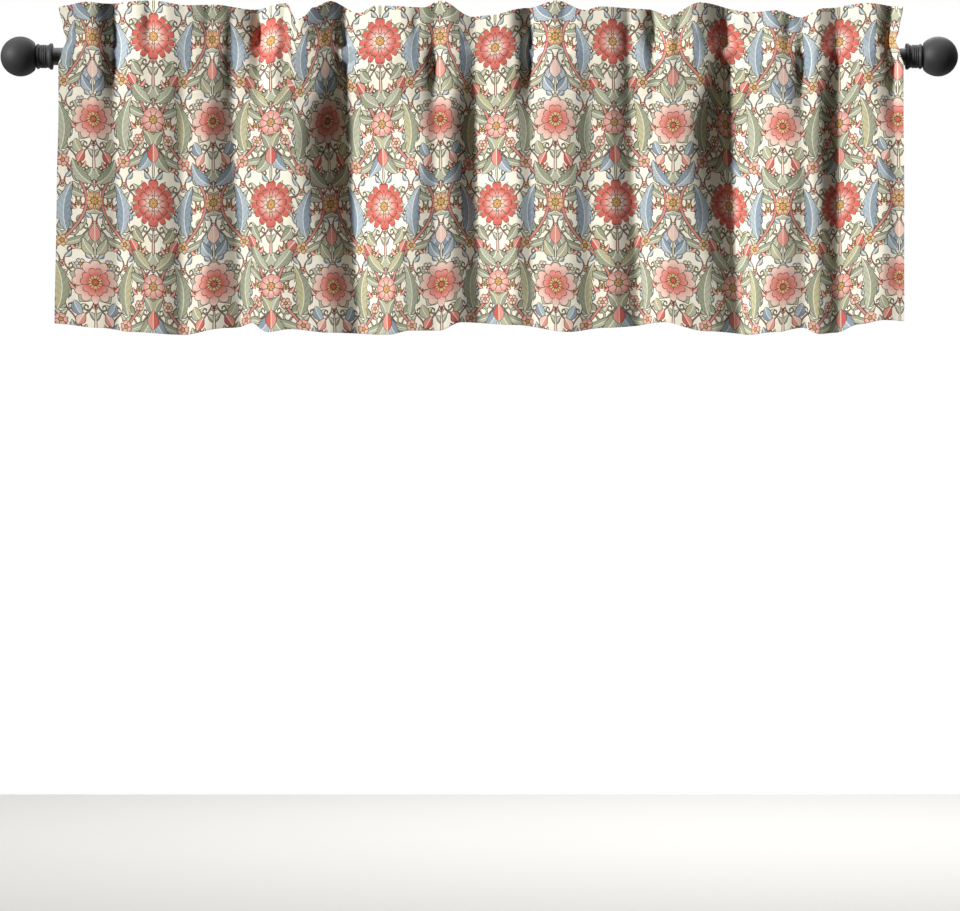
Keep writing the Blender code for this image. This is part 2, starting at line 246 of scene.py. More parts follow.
class Motif:
    """A part of the drawing, kept as a node group. All its sizes are in millimetres."""

    name = ""
    inputs: tuple[tuple[str, str], ...] = ()
    outputs: tuple[tuple[str, str], ...] = (("Colour", "NodeSocketColor"),)

    def __init__(self) -> None:
        """Make the node group with its named sockets, and draw in it."""
        self.group = bpy.data.node_groups.new(self.name, "ShaderNodeTree")
        for label, kind in self.inputs:
            self.group.interface.new_socket(label, in_out="INPUT", socket_type=kind)
        for label, kind in self.outputs:
            self.group.interface.new_socket(label, in_out="OUTPUT", socket_type=kind)
        graph = Graph(self.group)
        entry = graph.node("NodeGroupInput")
        given = {s.name: Wire(graph, s) for s in entry.outputs if s.name}
        results = self.draw(graph, given)
        leave = graph.node("NodeGroupOutput")
        for socket, wire in zip(leave.inputs, results):
            self.group.links.new(wire.socket, socket)

    def draw(self, graph: Graph, given: dict[str, Wire]) -> Sequence[Wire]:
        """Fill the group and return its results, in the order of the outputs."""
        raise NotImplementedError

    def place(self, graph: Graph, **values: object) -> list[Wire]:
        """Add the motif to a drawing.

        Args:
            graph: The drawing that it is added to.
            values: Wires, numbers or colours by the name of the socket, in lower case.

        Returns:
            What the motif gives, in the order of its outputs.
        """
        made = graph.node("ShaderNodeGroup", node_tree=self.group)
        for label, value in values.items():
            socket = made.inputs[label.replace("_", " ").title()]
            if isinstance(value, Wire):
                graph.tree.links.new(value.socket, socket)
            elif socket.type == "RGBA":
                socket.default_value = (*value, 1.0)
            else:
                socket.default_value = value
        return [Wire(graph, s) for s in made.outputs]

    def inked(self, graph: Graph, edge: Wire, inside: Wire, tone: Wire, under: Wire) -> Wire:
        """Give a form its drawn outline and lay it over what lies under it.

        Args:
            graph: Tree of the motif.
            edge: Distance inside the line that is drawn.
            inside: Distance inside the edge of the form.
            tone: Dye of the form.
            under: What lies under it.

        Returns:
            The colour with the form on it.
        """
        drawn = graph.mix(graph.rise(edge, LINE + SOFT, LINE), tone, OUTLINE)
        cover = graph.rise(inside, -LINE - SOFT, -LINE)
        return graph.mix(cover, under, drawn)


NUMBER = "NodeSocketFloat"
DYE = "NodeSocketColor"


class Spot(Motif):
    """Coordinates about a spot of the repeat, turned its way."""

    name = "Spot"
    inputs = tuple((label, NUMBER) for label in ("X", "Y", "Across", "Up", "Cosine", "Sine", "Half Repeat"))
    outputs = (("Along", NUMBER), ("Aside", NUMBER))

    def draw(self, graph: Graph, given: dict[str, Wire]) -> Sequence[Wire]:
        """Distance from the nearest copy of the spot, along its direction and aside."""
        half = given["Half Repeat"]
        right = given["X"] - given["Across"]
        up = graph.math("WRAP", given["Y"] - given["Up"], half, half * -1.0)
        along = right * given["Cosine"] + up * given["Sine"]
        aside = up * given["Cosine"] - right * given["Sine"]
        return along, aside


class Leaf(Motif):
    """A leaf with a curved midrib, side veins, toothed edges and a drawn outline."""

    name = "Leaf"
    inputs = (
        ("Under", DYE),
        ("Along", NUMBER),
        ("Aside", NUMBER),
        ("Length", NUMBER),
        ("Half Width", NUMBER),
        ("Bend", NUMBER),
        ("Teeth", NUMBER),
        ("Tooth Depth", NUMBER),
        ("Light", DYE),
        ("Dark", DYE),
    )
    outline = ((0.0, -0.3), (0.03, 0.12), (0.2, 0.72), (0.42, 1.0), (0.72, 0.66), (0.97, 0.1), (1.0, -0.3))
    tone_edge = 0.3  # half width of the change from dark to light
    tooth_slant = 0.05
    veins = 8.0
    vein_slant = 1.6
    vein_edges = (0.2, 0.1)
    vein_tone = 0.3
    rib_edges = (0.75, 0.4)
    rib_tone = 0.75

    def draw(self, graph: Graph, given: dict[str, Wire]) -> Sequence[Wire]:
        """Outline, two tones, veins and midrib over what lies under the leaf."""
        share = given["Along"] / given["Length"]
        bow = share * (1.0 - share)
        aside = given["Aside"] - bow * (given["Bend"] * 4.0)
        off = abs(aside)
        half = graph.curve(share, self.outline) * given["Half Width"]
        saw = graph.math("FRACT", share * given["Teeth"] + off * self.tooth_slant)
        inside = half * (1.0 - saw * given["Tooth Depth"]) - off
        lit = graph.rise(aside, -self.tone_edge, self.tone_edge)
        tone = graph.mix(lit, given["Dark"], given["Light"])
        slant = graph.math("FRACT", share * self.veins - off / given["Half Width"] * self.vein_slant)
        vein = graph.rise(slant, *self.vein_edges)
        tone = graph.mix(vein * self.vein_tone, tone, OUTLINE)
        rib = graph.rise(off, *self.rib_edges)
        tone = graph.mix(rib * self.rib_tone, tone, GROUND)
        return (self.inked(graph, inside, inside, tone, given["Under"]),)


class Round(Motif):
    """Distance and bearing from the middle of a flower."""

    name = "Round"
    inputs = (("Along", NUMBER), ("Aside", NUMBER))
    outputs = (("Radius", NUMBER), ("Bearing", NUMBER))

    def draw(self, graph: Graph, given: dict[str, Wire]) -> Sequence[Wire]:
        """Radius in millimetres and bearing in turns."""
        along, aside = given["Along"], given["Aside"]
        radius = graph.math("SQRT", along * along + aside * aside)
        bearing = graph.math("ARCTAN2", aside, along) * (1 / math.tau)
        return radius, bearing


class PetalForm(Enum):
    """Outline of a petal from its edge (0) to its middle (1), as shares of its reach."""

    ROUNDED = ((0.0, 0.7), (0.2, 0.88), (0.55, 1.0), (1.0, 0.98))
    NOTCHED = ((0.0, 0.66), (0.25, 0.93), (0.6, 1.0), (1.0, 0.86))
    POINTED = ((0.0, 0.56), (0.35, 0.74), (0.7, 0.86), (1.0, 1.0))


class Petals(Motif):
    """A ring of petals, shaded from heart to rim, with streaks and drawn outlines."""

    inputs = (
        ("Under", DYE),
        ("Radius", NUMBER),
        ("Bearing", NUMBER),
        ("Count", NUMBER),
        ("Shift", NUMBER),
        ("Reach", NUMBER),
        ("Heart", DYE),
        ("Rim", DYE),
    )
    tone_edges = (0.35, 0.95)  # where the heart's dye gives way to the rim's, as shares of the reach
    streaks = 3.0
    streak_edges = (0.16, 0.04)
    streak_fade = (0.98, 0.45)
    streak_tone = 0.6

    def __init__(self, form: PetalForm) -> None:
        """Make the ring with petals of one form."""
        self.form = form
        self.name = f"Petals {form.name.lower()}"
        super().__init__()

    def draw(self, graph: Graph, given: dict[str, Wire]) -> Sequence[Wire]:
        """The ring over what lies under it."""
        radius = given["Radius"]
        across = graph.math("PINGPONG", given["Bearing"] * given["Count"] + given["Shift"], 0.5) * 2.0
        inside = graph.curve(across, self.form.value) * given["Reach"] - radius
        seam = across * radius * (math.pi / given["Count"])
        share = radius / given["Reach"]
        tone = graph.mix(graph.rise(share, *self.tone_edges), given["Heart"], given["Rim"])
        streak = graph.rise(graph.math("PINGPONG", across * self.streaks, 0.5), *self.streak_edges)
        fade = graph.rise(share, *self.streak_fade)
        tone = graph.mix(streak * fade * self.streak_tone, tone, CORAL)
        edge = graph.math("MINIMUM", inside, seam)
        return (self.inked(graph, edge, inside, tone, given["Under"]),)


class Heart(Motif):
    """The seeded disc in the middle of a flower."""

    name = "Heart"
    inputs = (
        ("Under", DYE),
        ("Radius", NUMBER),
        ("Bearing", NUMBER),
        ("Reach", NUMBER),
        ("Seeds", NUMBER),
        ("Disc", DYE),
    )
    seed_inset = 0.3  # of the reach, from the rim to the ring of seeds
    seed_stretch = 1.4
    seed_edges = (0.34, 0.2)
    eye_edges = (0.34, 0.22)

    def draw(self, graph: Graph, given: dict[str, Wire]) -> Sequence[Wire]:
        """A disc with a ring of seeds, over what lies under it."""
        radius = given["Radius"]
        inside = given["Reach"] - radius
        dots = graph.math("PINGPONG", given["Bearing"] * given["Seeds"], 0.5)
        band = abs(inside - given["Reach"] * self.seed_inset) / given["Reach"]
        seed = graph.rise(dots + band * self.seed_stretch, *self.seed_edges)
        tone = graph.mix(seed, given["Disc"], OUTLINE)
        tone = graph.mix(graph.rise(radius / given["Reach"], *self.eye_edges), tone, CORAL)
        return (self.inked(graph, inside, inside, tone, given["Under"]),)


class Vine(Motif):
    """A waving stem that runs up the cloth, with its own coordinates for what grows on it."""

    name = "Vine"
    inputs = (
        ("Under", DYE),
        ("X", NUMBER),
        ("Y", NUMBER),
        ("Middle", NUMBER),
        ("Swing", NUMBER),
        ("Repeat", NUMBER),
        ("Half Width", NUMBER),
        ("Dye", DYE),
    )
    outputs = (("Colour", DYE), ("Up", NUMBER), ("Off", NUMBER))
    ticks = 0.42  # marks on a millimetre of stem
    tick_slant = 0.25
    tick_edges = (0.3, 0.15)
    tick_tone = 0.35

    def draw(self, graph: Graph, given: dict[str, Wire]) -> Sequence[Wire]:
        """The stem, and the height and the distance off it."""
        x, y = given["X"], given["Y"]
        turns = y / given["Repeat"] * math.tau
        middle = given["Middle"] + given["Swing"] * graph.math("COSINE", turns)
        lean = graph.math("SINE", turns) * given["Swing"] / given["Repeat"] * math.tau
        off = (x - middle) / graph.math("SQRT", lean * lean + 1.0)
        inside = given["Half Width"] - abs(off)
        marks = graph.math("FRACT", y * self.ticks + off * self.tick_slant)
        tick = graph.rise(marks, *self.tick_edges)
        tone = graph.mix(tick * self.tick_tone, given["Dye"], CORAL)
        return self.inked(graph, inside, inside, tone, given["Under"]), y, off


class Curl(Motif):
    """A thin tendril that rolls up once."""

    name = "Curl"
    inputs = (
        ("Under", DYE),
        ("Along", NUMBER),
        ("Aside", NUMBER),
        ("Reach", NUMBER),
        ("Half Width", NUMBER),
        ("Dye", DYE),
    )
    closing = 0.66  # share of the reach that is lost in one turn
    foot = 1.35  # half width at the foot, as a share of the given one
    thinning = 0.8

    def draw(self, graph: Graph, given: dict[str, Wire]) -> Sequence[Wire]:
        """One turn of a closing spiral over what lies under it."""
        along, aside = given["Along"], given["Aside"]
        radius = graph.math("SQRT", along * along + aside * aside) / given["Reach"]
        turn = graph.math("ARCTAN2", aside, along) * (1 / math.tau) + 0.5
        ring = abs(radius - (1.0 - turn * self.closing)) * given["Reach"]
        inside = given["Half Width"] * (self.foot - turn * self.thinning) - ring
        return (self.inked(graph, inside, inside, given["Dye"], given["Under"]),)


@dataclass(frozen=True)
class Dress:
    """The two tones of a leaf, bud or stalk: its lit half and its shaded half."""

    light: Colour
    dark: Colour


BLUE = Dress(SKY, SLATE)
GREEN = Dress(SAGE, MOSS)
YELLOW_GREEN = Dress(OLIVE, MOSS)
PINK = Dress(BLUSH, ROSE)
RED = Dress(ROSE, CORAL)
TWIG = Dress(OLIVE, SAGE)


class LeafPlace(NamedTuple):
    """Where a leaf, bud or stalk grows. Sizes in millimetres, the turn in degrees."""

    across: float
    up: float
    turn: float
    length: float
    half_width: float
    bend: float
    teeth: float
    tooth_depth: float
    dress: Dress
    other: Dress  # in every second frame of vines


class FlowerPlace(NamedTuple):
    """Where a small flower grows, in millimetres."""

    across: float
    up: float
    reach: float
    petals: int
    form: PetalForm
    heart: Colour
    rim: Colour


class Ring(NamedTuple):
    """One ring of petals in a flower."""

    form: PetalForm
    petals: int
    shift: float  # turn of the ring, in petals
    reach: float  # in millimetres
    heart: Colour
    rim: Colour


class Disc(NamedTuple):
    """The seeded middle of a flower."""

    reach: float  # in millimetres
    seeds: int
    dye: Colour


class CurlPlace(NamedTuple):
    """Where a tendril rolls up. Sizes in millimetres, the turn in degrees."""

    across: float
    up: float
    turn: float
    reach: float


ROUNDED, NOTCHED, POINTED = PetalForm

LEAVES = (
    LeafPlace(52, -46, 84, 74, 13, 9, 7, 0.32, BLUE, BLUE),
    LeafPlace(3, -92, 52, 46, 10, -6, 5, 0.25, YELLOW_GREEN, GREEN),
    LeafPlace(24, 44, 118, 44, 9, 6, 5, 0.25, GREEN, BLUE),
    LeafPlace(40, 70, 96, 78, 13, -10, 7, 0.32, YELLOW_GREEN, GREEN),
    LeafPlace(87, 24, 128, 46, 10, 6, 5, 0.25, BLUE, GREEN),
    LeafPlace(66, 160, 62, 44, 9, -6, 5, 0.25, GREEN, BLUE),
    LeafPlace(2, 78, 60, 26, 7, 3, 4, 0.0, GREEN, YELLOW_GREEN),
    LeafPlace(88, -76, 122, 28, 7, 3, 4, 0.0, TWIG, BLUE),
    LeafPlace(30, -34, 232, 26, 7, 3, 4, 0.0, YELLOW_GREEN, GREEN),
    LeafPlace(62, 88, 300, 26, 7, -3, 4, 0.0, BLUE, TWIG),
)

STALKS = (
    LeafPlace(0, -100, 90, 70, 2.0, 0, 1, 0.0, PINK, PINK),
    LeafPlace(90, 14, 90, 70, 2.0, 0, 1, 0.0, PINK, PINK),
    LeafPlace(0, 30, 90, 34, 1.6, 0, 1, 0.0, TWIG, TWIG),
    LeafPlace(90, 145, 90, 34, 1.6, 0, 1, 0.0, TWIG, TWIG),
)

BUDS = (
    LeafPlace(0, 56, 90, 27, 8.5, 0, 1, 0.0, PINK, RED),
    LeafPlace(90, 172, 90, 27, 8.5, 0, 1, 0.0, RED, PINK),
    LeafPlace(26, -66, 60, 20, 6.5, 0, 1, 0.0, RED, RED),
    LeafPlace(66, 54, 60, 20, 6.5, 0, 1, 0.0, PINK, RED),
)

FLOWERS = (
    FlowerPlace(0, 115, 17, 8, ROUNDED, BLUSH, ROSE),
    FlowerPlace(90, 0, 16, 9, POINTED, STRAW, CORAL),
    FlowerPlace(45, 58, 9.5, 5, NOTCHED, BLUSH, ROSE),
    FlowerPlace(45, -58, 9.5, 5, POINTED, STRAW, ROSE),
    FlowerPlace(22, 88, 7.5, 6, ROUNDED, GROUND, ROSE),
    FlowerPlace(70, -90, 7.5, 6, ROUNDED, GROUND, SKY),
)

CURLS = (
    CurlPlace(26, 68, 200, 9),
    CurlPlace(20, -104, 30, 8),
    CurlPlace(70, -28, 120, 8),
    CurlPlace(68, 34, 300, 8),
    CurlPlace(60, 190, 60, 9),
)

VINE_LEAF = LeafPlace(0, 0, 0, 29, 6.5, 3, 4, 0.0, GREEN, GREEN)

ROSETTE = (
    Ring(POINTED, 12, 0.5, 36, OLIVE, SAGE),
    Ring(ROUNDED, 15, 0.0, 31.5, ROSE, CORAL),
    Ring(ROUNDED, 11, 0.5, 23, BLUSH, CORAL),
    Ring(POINTED, 9, 0.0, 14.5, GROUND, ROSE),
)
ROSETTE_DISC = Disc(6.5, 11, OCHRE)

OPEN_FLOWER = (
    Ring(POINTED, 5, 0.25, 36, MOSS, SAGE),
    Ring(NOTCHED, 6, 0.75, 31, ROSE, BLUSH),
    Ring(NOTCHED, 5, 0.25, 20, CORAL, ROSE),
    Ring(POINTED, 13, 0.0, 11, OCHRE, STRAW),
)
OPEN_DISC = Disc(4.5, 7, CORAL)

SMALL_SHIFT = 0.5  # turn of a small flower, in petals
SMALL_DISC = 0.34  # reach of its disc, as a share of its own
SMALL_SEEDS = 7

FINE_LEAVES = (
    LeafPlace(1, 3, 58, 15, 3.6, 2, 1, 0.0, GREEN, GREEN),
    LeafPlace(21, 14, 122, 15, 3.6, -2, 1, 0.0, TWIG, TWIG),
    LeafPlace(4, -24, 50, 14, 3.4, -2, 1, 0.0, BLUE, BLUE),
    LeafPlace(20, -12, 128, 13, 3.2, 2, 1, 0.0, RED, RED),
)

FINE_FLOWERS = (
    FlowerPlace(0, 24, 4.6, 5, ROUNDED, BLUSH, ROSE),
    FlowerPlace(22.5, -4, 4.2, 5, ROUNDED, STRAW, OCHRE),
)

FINE_CURLS = (
    CurlPlace(12, 22, 40, 4.6),
    CurlPlace(11, -13, 210, 4.6),
)


class Drawing:
    """The print as it is drawn, each motif over the last."""

    def __init__(self, graph: Graph, x: Wire, y: Wire, repeat: float, ground: Colour) -> None:
        """Start with the bare ground.

        Args:
            graph: Tree of the material.
            x: Place across the mirrored repeat, in millimetres.
            y: Place up the cloth, in millimetres.
            repeat: Height of the repeat, in millimetres.
            ground: Colour of the bare cloth.
        """
        self.graph = graph
        self.x = x
        self.y = y
        self.repeat = repeat
        self.colour: Wire | Colour = ground
        self.spot = Spot()
        self.leaf_form = Leaf()
        self.round = Round()
        self.rings = {form: Petals(form) for form in PetalForm}
        self.heart_form = Heart()
        self.vine_form = Vine()
        self.curl_form = Curl()

    def lay_out(self, x: Wire, repeat: float) -> None:
        """Go on in another repeat, over what is drawn already."""
        self.x = x
        self.repeat = repeat

    def at(self, across: float, up: float, degrees: float = 0.0) -> tuple[Wire, Wire]:
        """Coordinates about a spot, along its direction and aside."""
        turn = math.radians(degrees)
        along, aside = self.spot.place(
            self.graph,
            x=self.x,
            y=self.y,
            across=float(across),
            up=float(up),
            cosine=round(math.cos(turn), 6),
            sine=round(math.sin(turn), 6),
            half_repeat=self.repeat / 2,
        )
        return along, aside

    def leaf(self, place: LeafPlace, frame: Wire) -> None:
        """Draw one leaf, bud or stalk.

        Args:
            place: Where it grows and how it looks.
            frame: 0 or 1, in turn from one frame of vines to the next.
        """
        light: object = place.dress.light
        dark: object = place.dress.dark
        if place.dress != place.other:
            light = self.graph.mix(frame, light, place.other.light)
            dark = self.graph.mix(frame, dark, place.other.dark)
        along, aside = self.at(place.across, place.up, place.turn)
        self.leaf_on(along, aside, place, light, dark)

    def leaf_on(self, along: Wire, aside: Wire, place: LeafPlace, light: object, dark: object) -> None:
        """Draw a leaf on coordinates of its own.

        Args:
            along: Distance along the leaf from its foot.
            aside: Distance off its middle.
            place: Its size and form.
            light: Dye of its lit half.
            dark: Dye of its shaded half.
        """
        (self.colour,) = self.leaf_form.place(
            self.graph,
            under=self.colour,
            along=along,
            aside=aside,
            length=float(place.length),
            half_width=float(place.half_width),
            bend=float(place.bend),
            teeth=float(place.teeth),
            tooth_depth=place.tooth_depth,
            light=light,
            dark=dark,
        )

    def ring(self, about: list[Wire], ring: Ring) -> None:
        """Draw one ring of petals.

        Args:
            about: Radius and bearing about the middle of the flower.
            ring: The petals.
        """
        (self.colour,) = self.rings[ring.form].place(
            self.graph,
            under=self.colour,
            radius=about[0],
            bearing=about[1],
            count=float(ring.petals),
            shift=ring.shift,
            reach=float(ring.reach),
            heart=ring.heart,
            rim=ring.rim,
        )

    def heart(self, about: list[Wire], disc: Disc) -> None:
        """Draw the seeded disc of a flower.

        Args:
            about: Radius and bearing about the middle of the flower.
            disc: The disc.
        """
        (self.colour,) = self.heart_form.place(
            self.graph,
            under=self.colour,
            radius=about[0],
            bearing=about[1],
            reach=float(disc.reach),
            seeds=float(disc.seeds),
            disc=disc.dye,
        )

    def about(self, across: float, up: float) -> list[Wire]:
        """Radius and bearing about the middle of a flower."""
        along, aside = self.at(across, up)
        return self.round.place(self.graph, along=along, aside=aside)

    def small_flower(self, place: FlowerPlace) -> None:
        """Draw a flower of one ring."""
        about = self.about(place.across, place.up)
        self.ring(about, Ring(place.form, place.petals, SMALL_SHIFT, place.reach, place.heart, place.rim))
        self.heart(about, Disc(place.reach * SMALL_DISC, SMALL_SEEDS, OCHRE))

    def curl(self, place: CurlPlace, half_width: float = 1.3, dye: Colour = SAGE) -> None:
        """Draw a tendril."""
        along, aside = self.at(place.across, place.up, place.turn)
        (self.colour,) = self.curl_form.place(
            self.graph,
            under=self.colour,
            along=along,
            aside=aside,
            reach=float(place.reach),
            half_width=half_width,
            dye=dye,
        )

    def vine(self, middle: float, swing: float, half_width: float, dye: Colour) -> tuple[Wire, Wire]:
        """Draw the climbing stem.

        Args:
            middle: Place of its middle across the repeat.
            swing: How far it waves to each side.
            half_width: Half its own width.
            dye: Its dye.

        Returns:
            The height, and the distance off the stem.
        """
        self.colour, up, off = self.vine_form.place(
            self.graph,
            under=self.colour,
            x=self.x,
            y=self.y,
            middle=middle,
            swing=swing,
            repeat=self.repeat,
            half_width=half_width,
            dye=dye,
        )
        return up, off


@dataclass(frozen=True)
class FloralPrint:
    """A generic all-over print of ogee vines, rosettes, open flowers and leaves.

    It is mirrored about upright lines half a width apart. Sizes in millimetres.
    """

    width: float = 180.0
    height: float = 230.0
    start_across: float = 37.0
    start_up: float = 52.0
    vine_swing: float = 34.0
    vine_half_width: float = 2.1
    vine_leaf_pitch: float = 46.0
    vine_leaf_spread: float = math.radians(52)
    vine_leaf_foot: float = 5.0  # where a leaf starts in its pitch
    vine_leaf_inset: float = 2.0  # how far its foot lies inside the stem
    second_up: float = 14.0  # from this height on, or this far across,
    second_across: float = 60.0  # a leaf belongs to the second set of frames
    fine_width: float = 45.0
    fine_height: float = 57.5
    fine_swing: float = 8.5
    fine_half_width: float = 0.75

    def every_second(self, graph: Graph, across: Wire, up: Wire) -> Wire:
        """0 or 1 in turn over the frames that lie about the whole numbers."""
        column = graph.math("ROUND", across)
        row = graph.math("ROUND", up)
        return graph.math("FLOORED_MODULO", column + row, 2.0)

    def vine_leaves(self, drawing: Drawing, up: Wire, off: Wire) -> None:
        """Small leaves on both sides of the vine, half a pitch apart."""
        graph = drawing.graph
        pitch = self.vine_leaf_pitch
        right = graph.math("GREATER_THAN", off, 0.0)
        run = graph.math("FLOORED_MODULO", up + right * (pitch / 2), pitch) - self.vine_leaf_foot
        away = abs(off)
        cosine, sine = math.cos(self.vine_leaf_spread), math.sin(self.vine_leaf_spread)
        along = run * cosine + away * sine - self.vine_leaf_inset
        aside = away * cosine - run * sine
        dress = VINE_LEAF.dress
        drawing.leaf_on(along, aside, VINE_LEAF, dress.light, dress.dark)

    def sprigs(self, drawing: Drawing, graph: Graph, across: Wire) -> None:
        """Thin stems with small leaves and blossoms, in a repeat of their own, under all else."""
        drawing.lay_out(graph.math("PINGPONG", across, self.fine_width / 2), self.fine_height)
        drawing.vine(self.fine_width / 4, self.fine_swing, self.fine_half_width, STEM)
        for curl in FINE_CURLS:
            drawing.curl(curl, self.fine_half_width, MOSS)
        for leaf in FINE_LEAVES:
            drawing.leaf(leaf, across)
        for flower in FINE_FLOWERS:
            drawing.small_flower(flower)

    def flower(self, drawing: Drawing, across: float, up: float, rings: Sequence[Ring], disc: Disc) -> None:
        """Draw a large flower.

        Args:
            drawing: What is drawn so far.
            across: Place of its middle across the repeat.
            up: Place of its middle up the repeat.
            rings: Its rings, the widest first.
            disc: Its middle.
        """
        about = drawing.about(across, up)
        for ring in rings:
            drawing.ring(about, ring)
        drawing.heart(about, disc)

    def colour(self, graph: Graph, cloth: Wire) -> Wire:
        """Draw the print.

        Args:
            graph: The tree of the material.
            cloth: Place on the flat cloth, in metres.

        Returns:
            The colour of the print there.
        """
        u, v, _ = graph.split(cloth)
        across = u * (1 / MM) + self.start_across
        up = v * (1 / MM) + self.start_up
        folded = graph.math("PINGPONG", across, self.width / 2)
        first = self.every_second(graph, across * (1 / self.width), up * (1 / self.height))
        second = self.every_second(graph, across * (1 / self.width) - 0.5, up * (1 / self.height) - 0.5)
        drawing = Drawing(graph, folded, up, self.height, GROUND)
        self.sprigs(drawing, graph, across)
        drawing.lay_out(folded, self.height)
        for curl in CURLS:
            drawing.curl(curl)
        for stalk in STALKS:
            drawing.leaf(stalk, first)
        along, off = drawing.vine(self.width / 4, self.vine_swing, self.vine_half_width, STEM)
        self.vine_leaves(drawing, along, off)
        for leaf in LEAVES + BUDS:
            beyond = leaf.up >= self.second_up or leaf.across > self.second_across
            drawing.leaf(leaf, second if beyond else first)
        for flower in FLOWERS:
            drawing.small_flower(flower)
        self.flower(drawing, 0.0, 0.0, ROSETTE, ROSETTE_DISC)
        self.flower(drawing, self.width / 2, self.height / 2, OPEN_FLOWER, OPEN_DISC)
        return drawing.colour


# Finishes


def new_material(name: str) -> tuple[bpy.types.Material, Graph, bpy.types.Node]:
    """A material with a Principled shader, ready to be wired."""
    material = bpy.data.materials.new(name)
    material.use_nodes = True
    graph = Graph(material.node_tree)
    return material, graph, material.node_tree.nodes["Principled BSDF"]


def wire_in(graph: Graph, shader: bpy.types.Node, name: str, wire: Wire) -> None:
    """Link a wire to a socket of the shader."""
    graph.tree.links.new(wire.socket, shader.inputs[name])


def bump(graph: Graph, height: Wire, strength: float, distance: float) -> Wire:
    """A bumped normal from a height between 0 and 1."""
    made = graph.node("ShaderNodeBump", {"Height": height, "Strength": strength, "Distance": distance})
    return graph.out(made, "Normal")


def cloth_place(graph: Graph) -> Wire:
    """Place on the flat cloth, from the sheet's own map, in metres."""
    return graph.out(graph.node("ShaderNodeUVMap", uv_map=CLOTH_MAP), "UV")


@dataclass(frozen=True)
class Weave:
    """The close plain weave of the cloth, with its slubs."""

    warp_pitch: float = 0.42 * MM
    weft_pitch: float = 0.5 * MM
    slub_length: float = 9.0 * MM
    slub_width: float = 0.9 * MM
    depth: float = 0.06 * MM
    slub_edges: tuple[float, float] = (0.35, 0.75)

    def height(self, graph: Graph, place: Wire) -> Wire:
        """Height of the threads, from 0 to 1."""
        u, v, _ = graph.split(place)
        warp = graph.math("SINE", u * (math.tau / self.warp_pitch))
        weft = graph.math("SINE", v * (math.tau / self.weft_pitch))
        return warp * weft * 0.5 + 0.5

    def slubs(self, graph: Graph, place: Wire) -> Wire:
        """Thicker stretches of weft thread, from 0 to 1."""
        u, v, _ = graph.split(place)
        stretched = graph.join(u * (1 / self.slub_length), v * (1 / self.slub_width))
        return graph.rise(graph.noise(stretched, 1.0), *self.slub_edges)


@dataclass(frozen=True)
class PrintedFace:
    """The printed side of the cloth: matt, close-woven polyester."""

    name: str = "printed cloth"
    pattern: FloralPrint = FloralPrint()
    weave: Weave = Weave()
    roughness: float = 0.86
    specular: float = 0.04
    sheen: float = 0.03
    sheen_roughness: float = 0.5
    slub_dye: Colour = ink(255, 250, 238)
    slub_tone: float = 0.07
    slub_polish: float = 0.06  # how much smoother a slub is
    # Painted shade: a dark brown mixed into the hollows between the threads
    hollow_shade_dye: Colour = ink(90, 78, 66)
    hollow_shade_tone: float = 0.06  # how much painted shade darkens the hollows between the threads
    relief: float = 0.25

    def material(self) -> bpy.types.Material:
        """Make the finish."""
        material, graph, shader = new_material(self.name)
        place = cloth_place(graph)
        dye = self.pattern.colour(graph, place)
        slub = self.weave.slubs(graph, place)
        dye = graph.mix(slub * self.slub_tone, dye, self.slub_dye)
        threads = self.weave.height(graph, place)
        # painted shade: the hollows between the threads are darkened
        dye = graph.mix((1.0 - threads) * self.hollow_shade_tone, dye, self.hollow_shade_dye)
        wire_in(graph, shader, "Base Color", dye)
        wire_in(graph, shader, "Roughness", slub * -self.slub_polish + self.roughness)
        wire_in(graph, shader, "Normal", bump(graph, threads, self.relief, self.weave.depth))
        shader.inputs["Specular IOR Level"].default_value = self.specular
        shader.inputs["Sheen Weight"].default_value = self.sheen
        shader.inputs["Sheen Roughness"].default_value = self.sheen_roughness
        return material


@dataclass(frozen=True)
class PlainReverse:
    """The unprinted side of the blackout cloth: pale, with a ghost of the dyes."""

    name: str = "plain reverse"
    weave: Weave = Weave(warp_pitch=0.5 * MM)
    base: Colour = ink(238, 231, 215)
    cool_dye: Colour = ink(219, 214, 197)
    cool_edges: tuple[float, float] = (0.5, 0.68)
    cool_tone: float = 0.5
    warm_dye: Colour = ink(238, 215, 202)
    warm_edges: tuple[float, float] = (0.55, 0.7)
    warm_tone: float = 0.4
    ghost_scale: float = 26.0
    warm_scale: float = 1.4  # the warm ghost's, as a share of the cool one's
    slub_dye: Colour = ink(255, 252, 244)
    slub_tone: float = 0.1
    slub_polish: float = 0.08  # how much smoother a slub is
    # how much painted shade darkens the hollows between the threads
    hollow_shade_tone: float = 0.08
    relief: float = 0.3
    roughness: float = 0.8
    specular: float = 0.3

    def material(self) -> bpy.types.Material:
        """Make the finish."""
        material, graph, shader = new_material(self.name)
        place = cloth_place(graph)
        cool = graph.rise(graph.noise(place, self.ghost_scale), *self.cool_edges)
        dye = graph.mix(cool * self.cool_tone, self.base, self.cool_dye)
        warm = graph.rise(graph.noise(place, self.ghost_scale * self.warm_scale), *self.warm_edges)
        dye = graph.mix(warm * self.warm_tone, dye, self.warm_dye)
        slub = self.weave.slubs(graph, place)
        dye = graph.mix(slub * self.slub_tone, dye, self.slub_dye)
        threads = self.weave.height(graph, place)
        # painted shade: the hollows between the threads are darkened
        dye = graph.mix((1.0 - threads) * self.hollow_shade_tone, dye, OUTLINE)
        wire_in(graph, shader, "Base Color", dye)
        wire_in(graph, shader, "Roughness", slub * -self.slub_polish + self.roughness)
        wire_in(graph, shader, "Normal", bump(graph, threads, self.relief, self.weave.depth))
        shader.inputs["Specular IOR Level"].default_value = self.specular
        return material


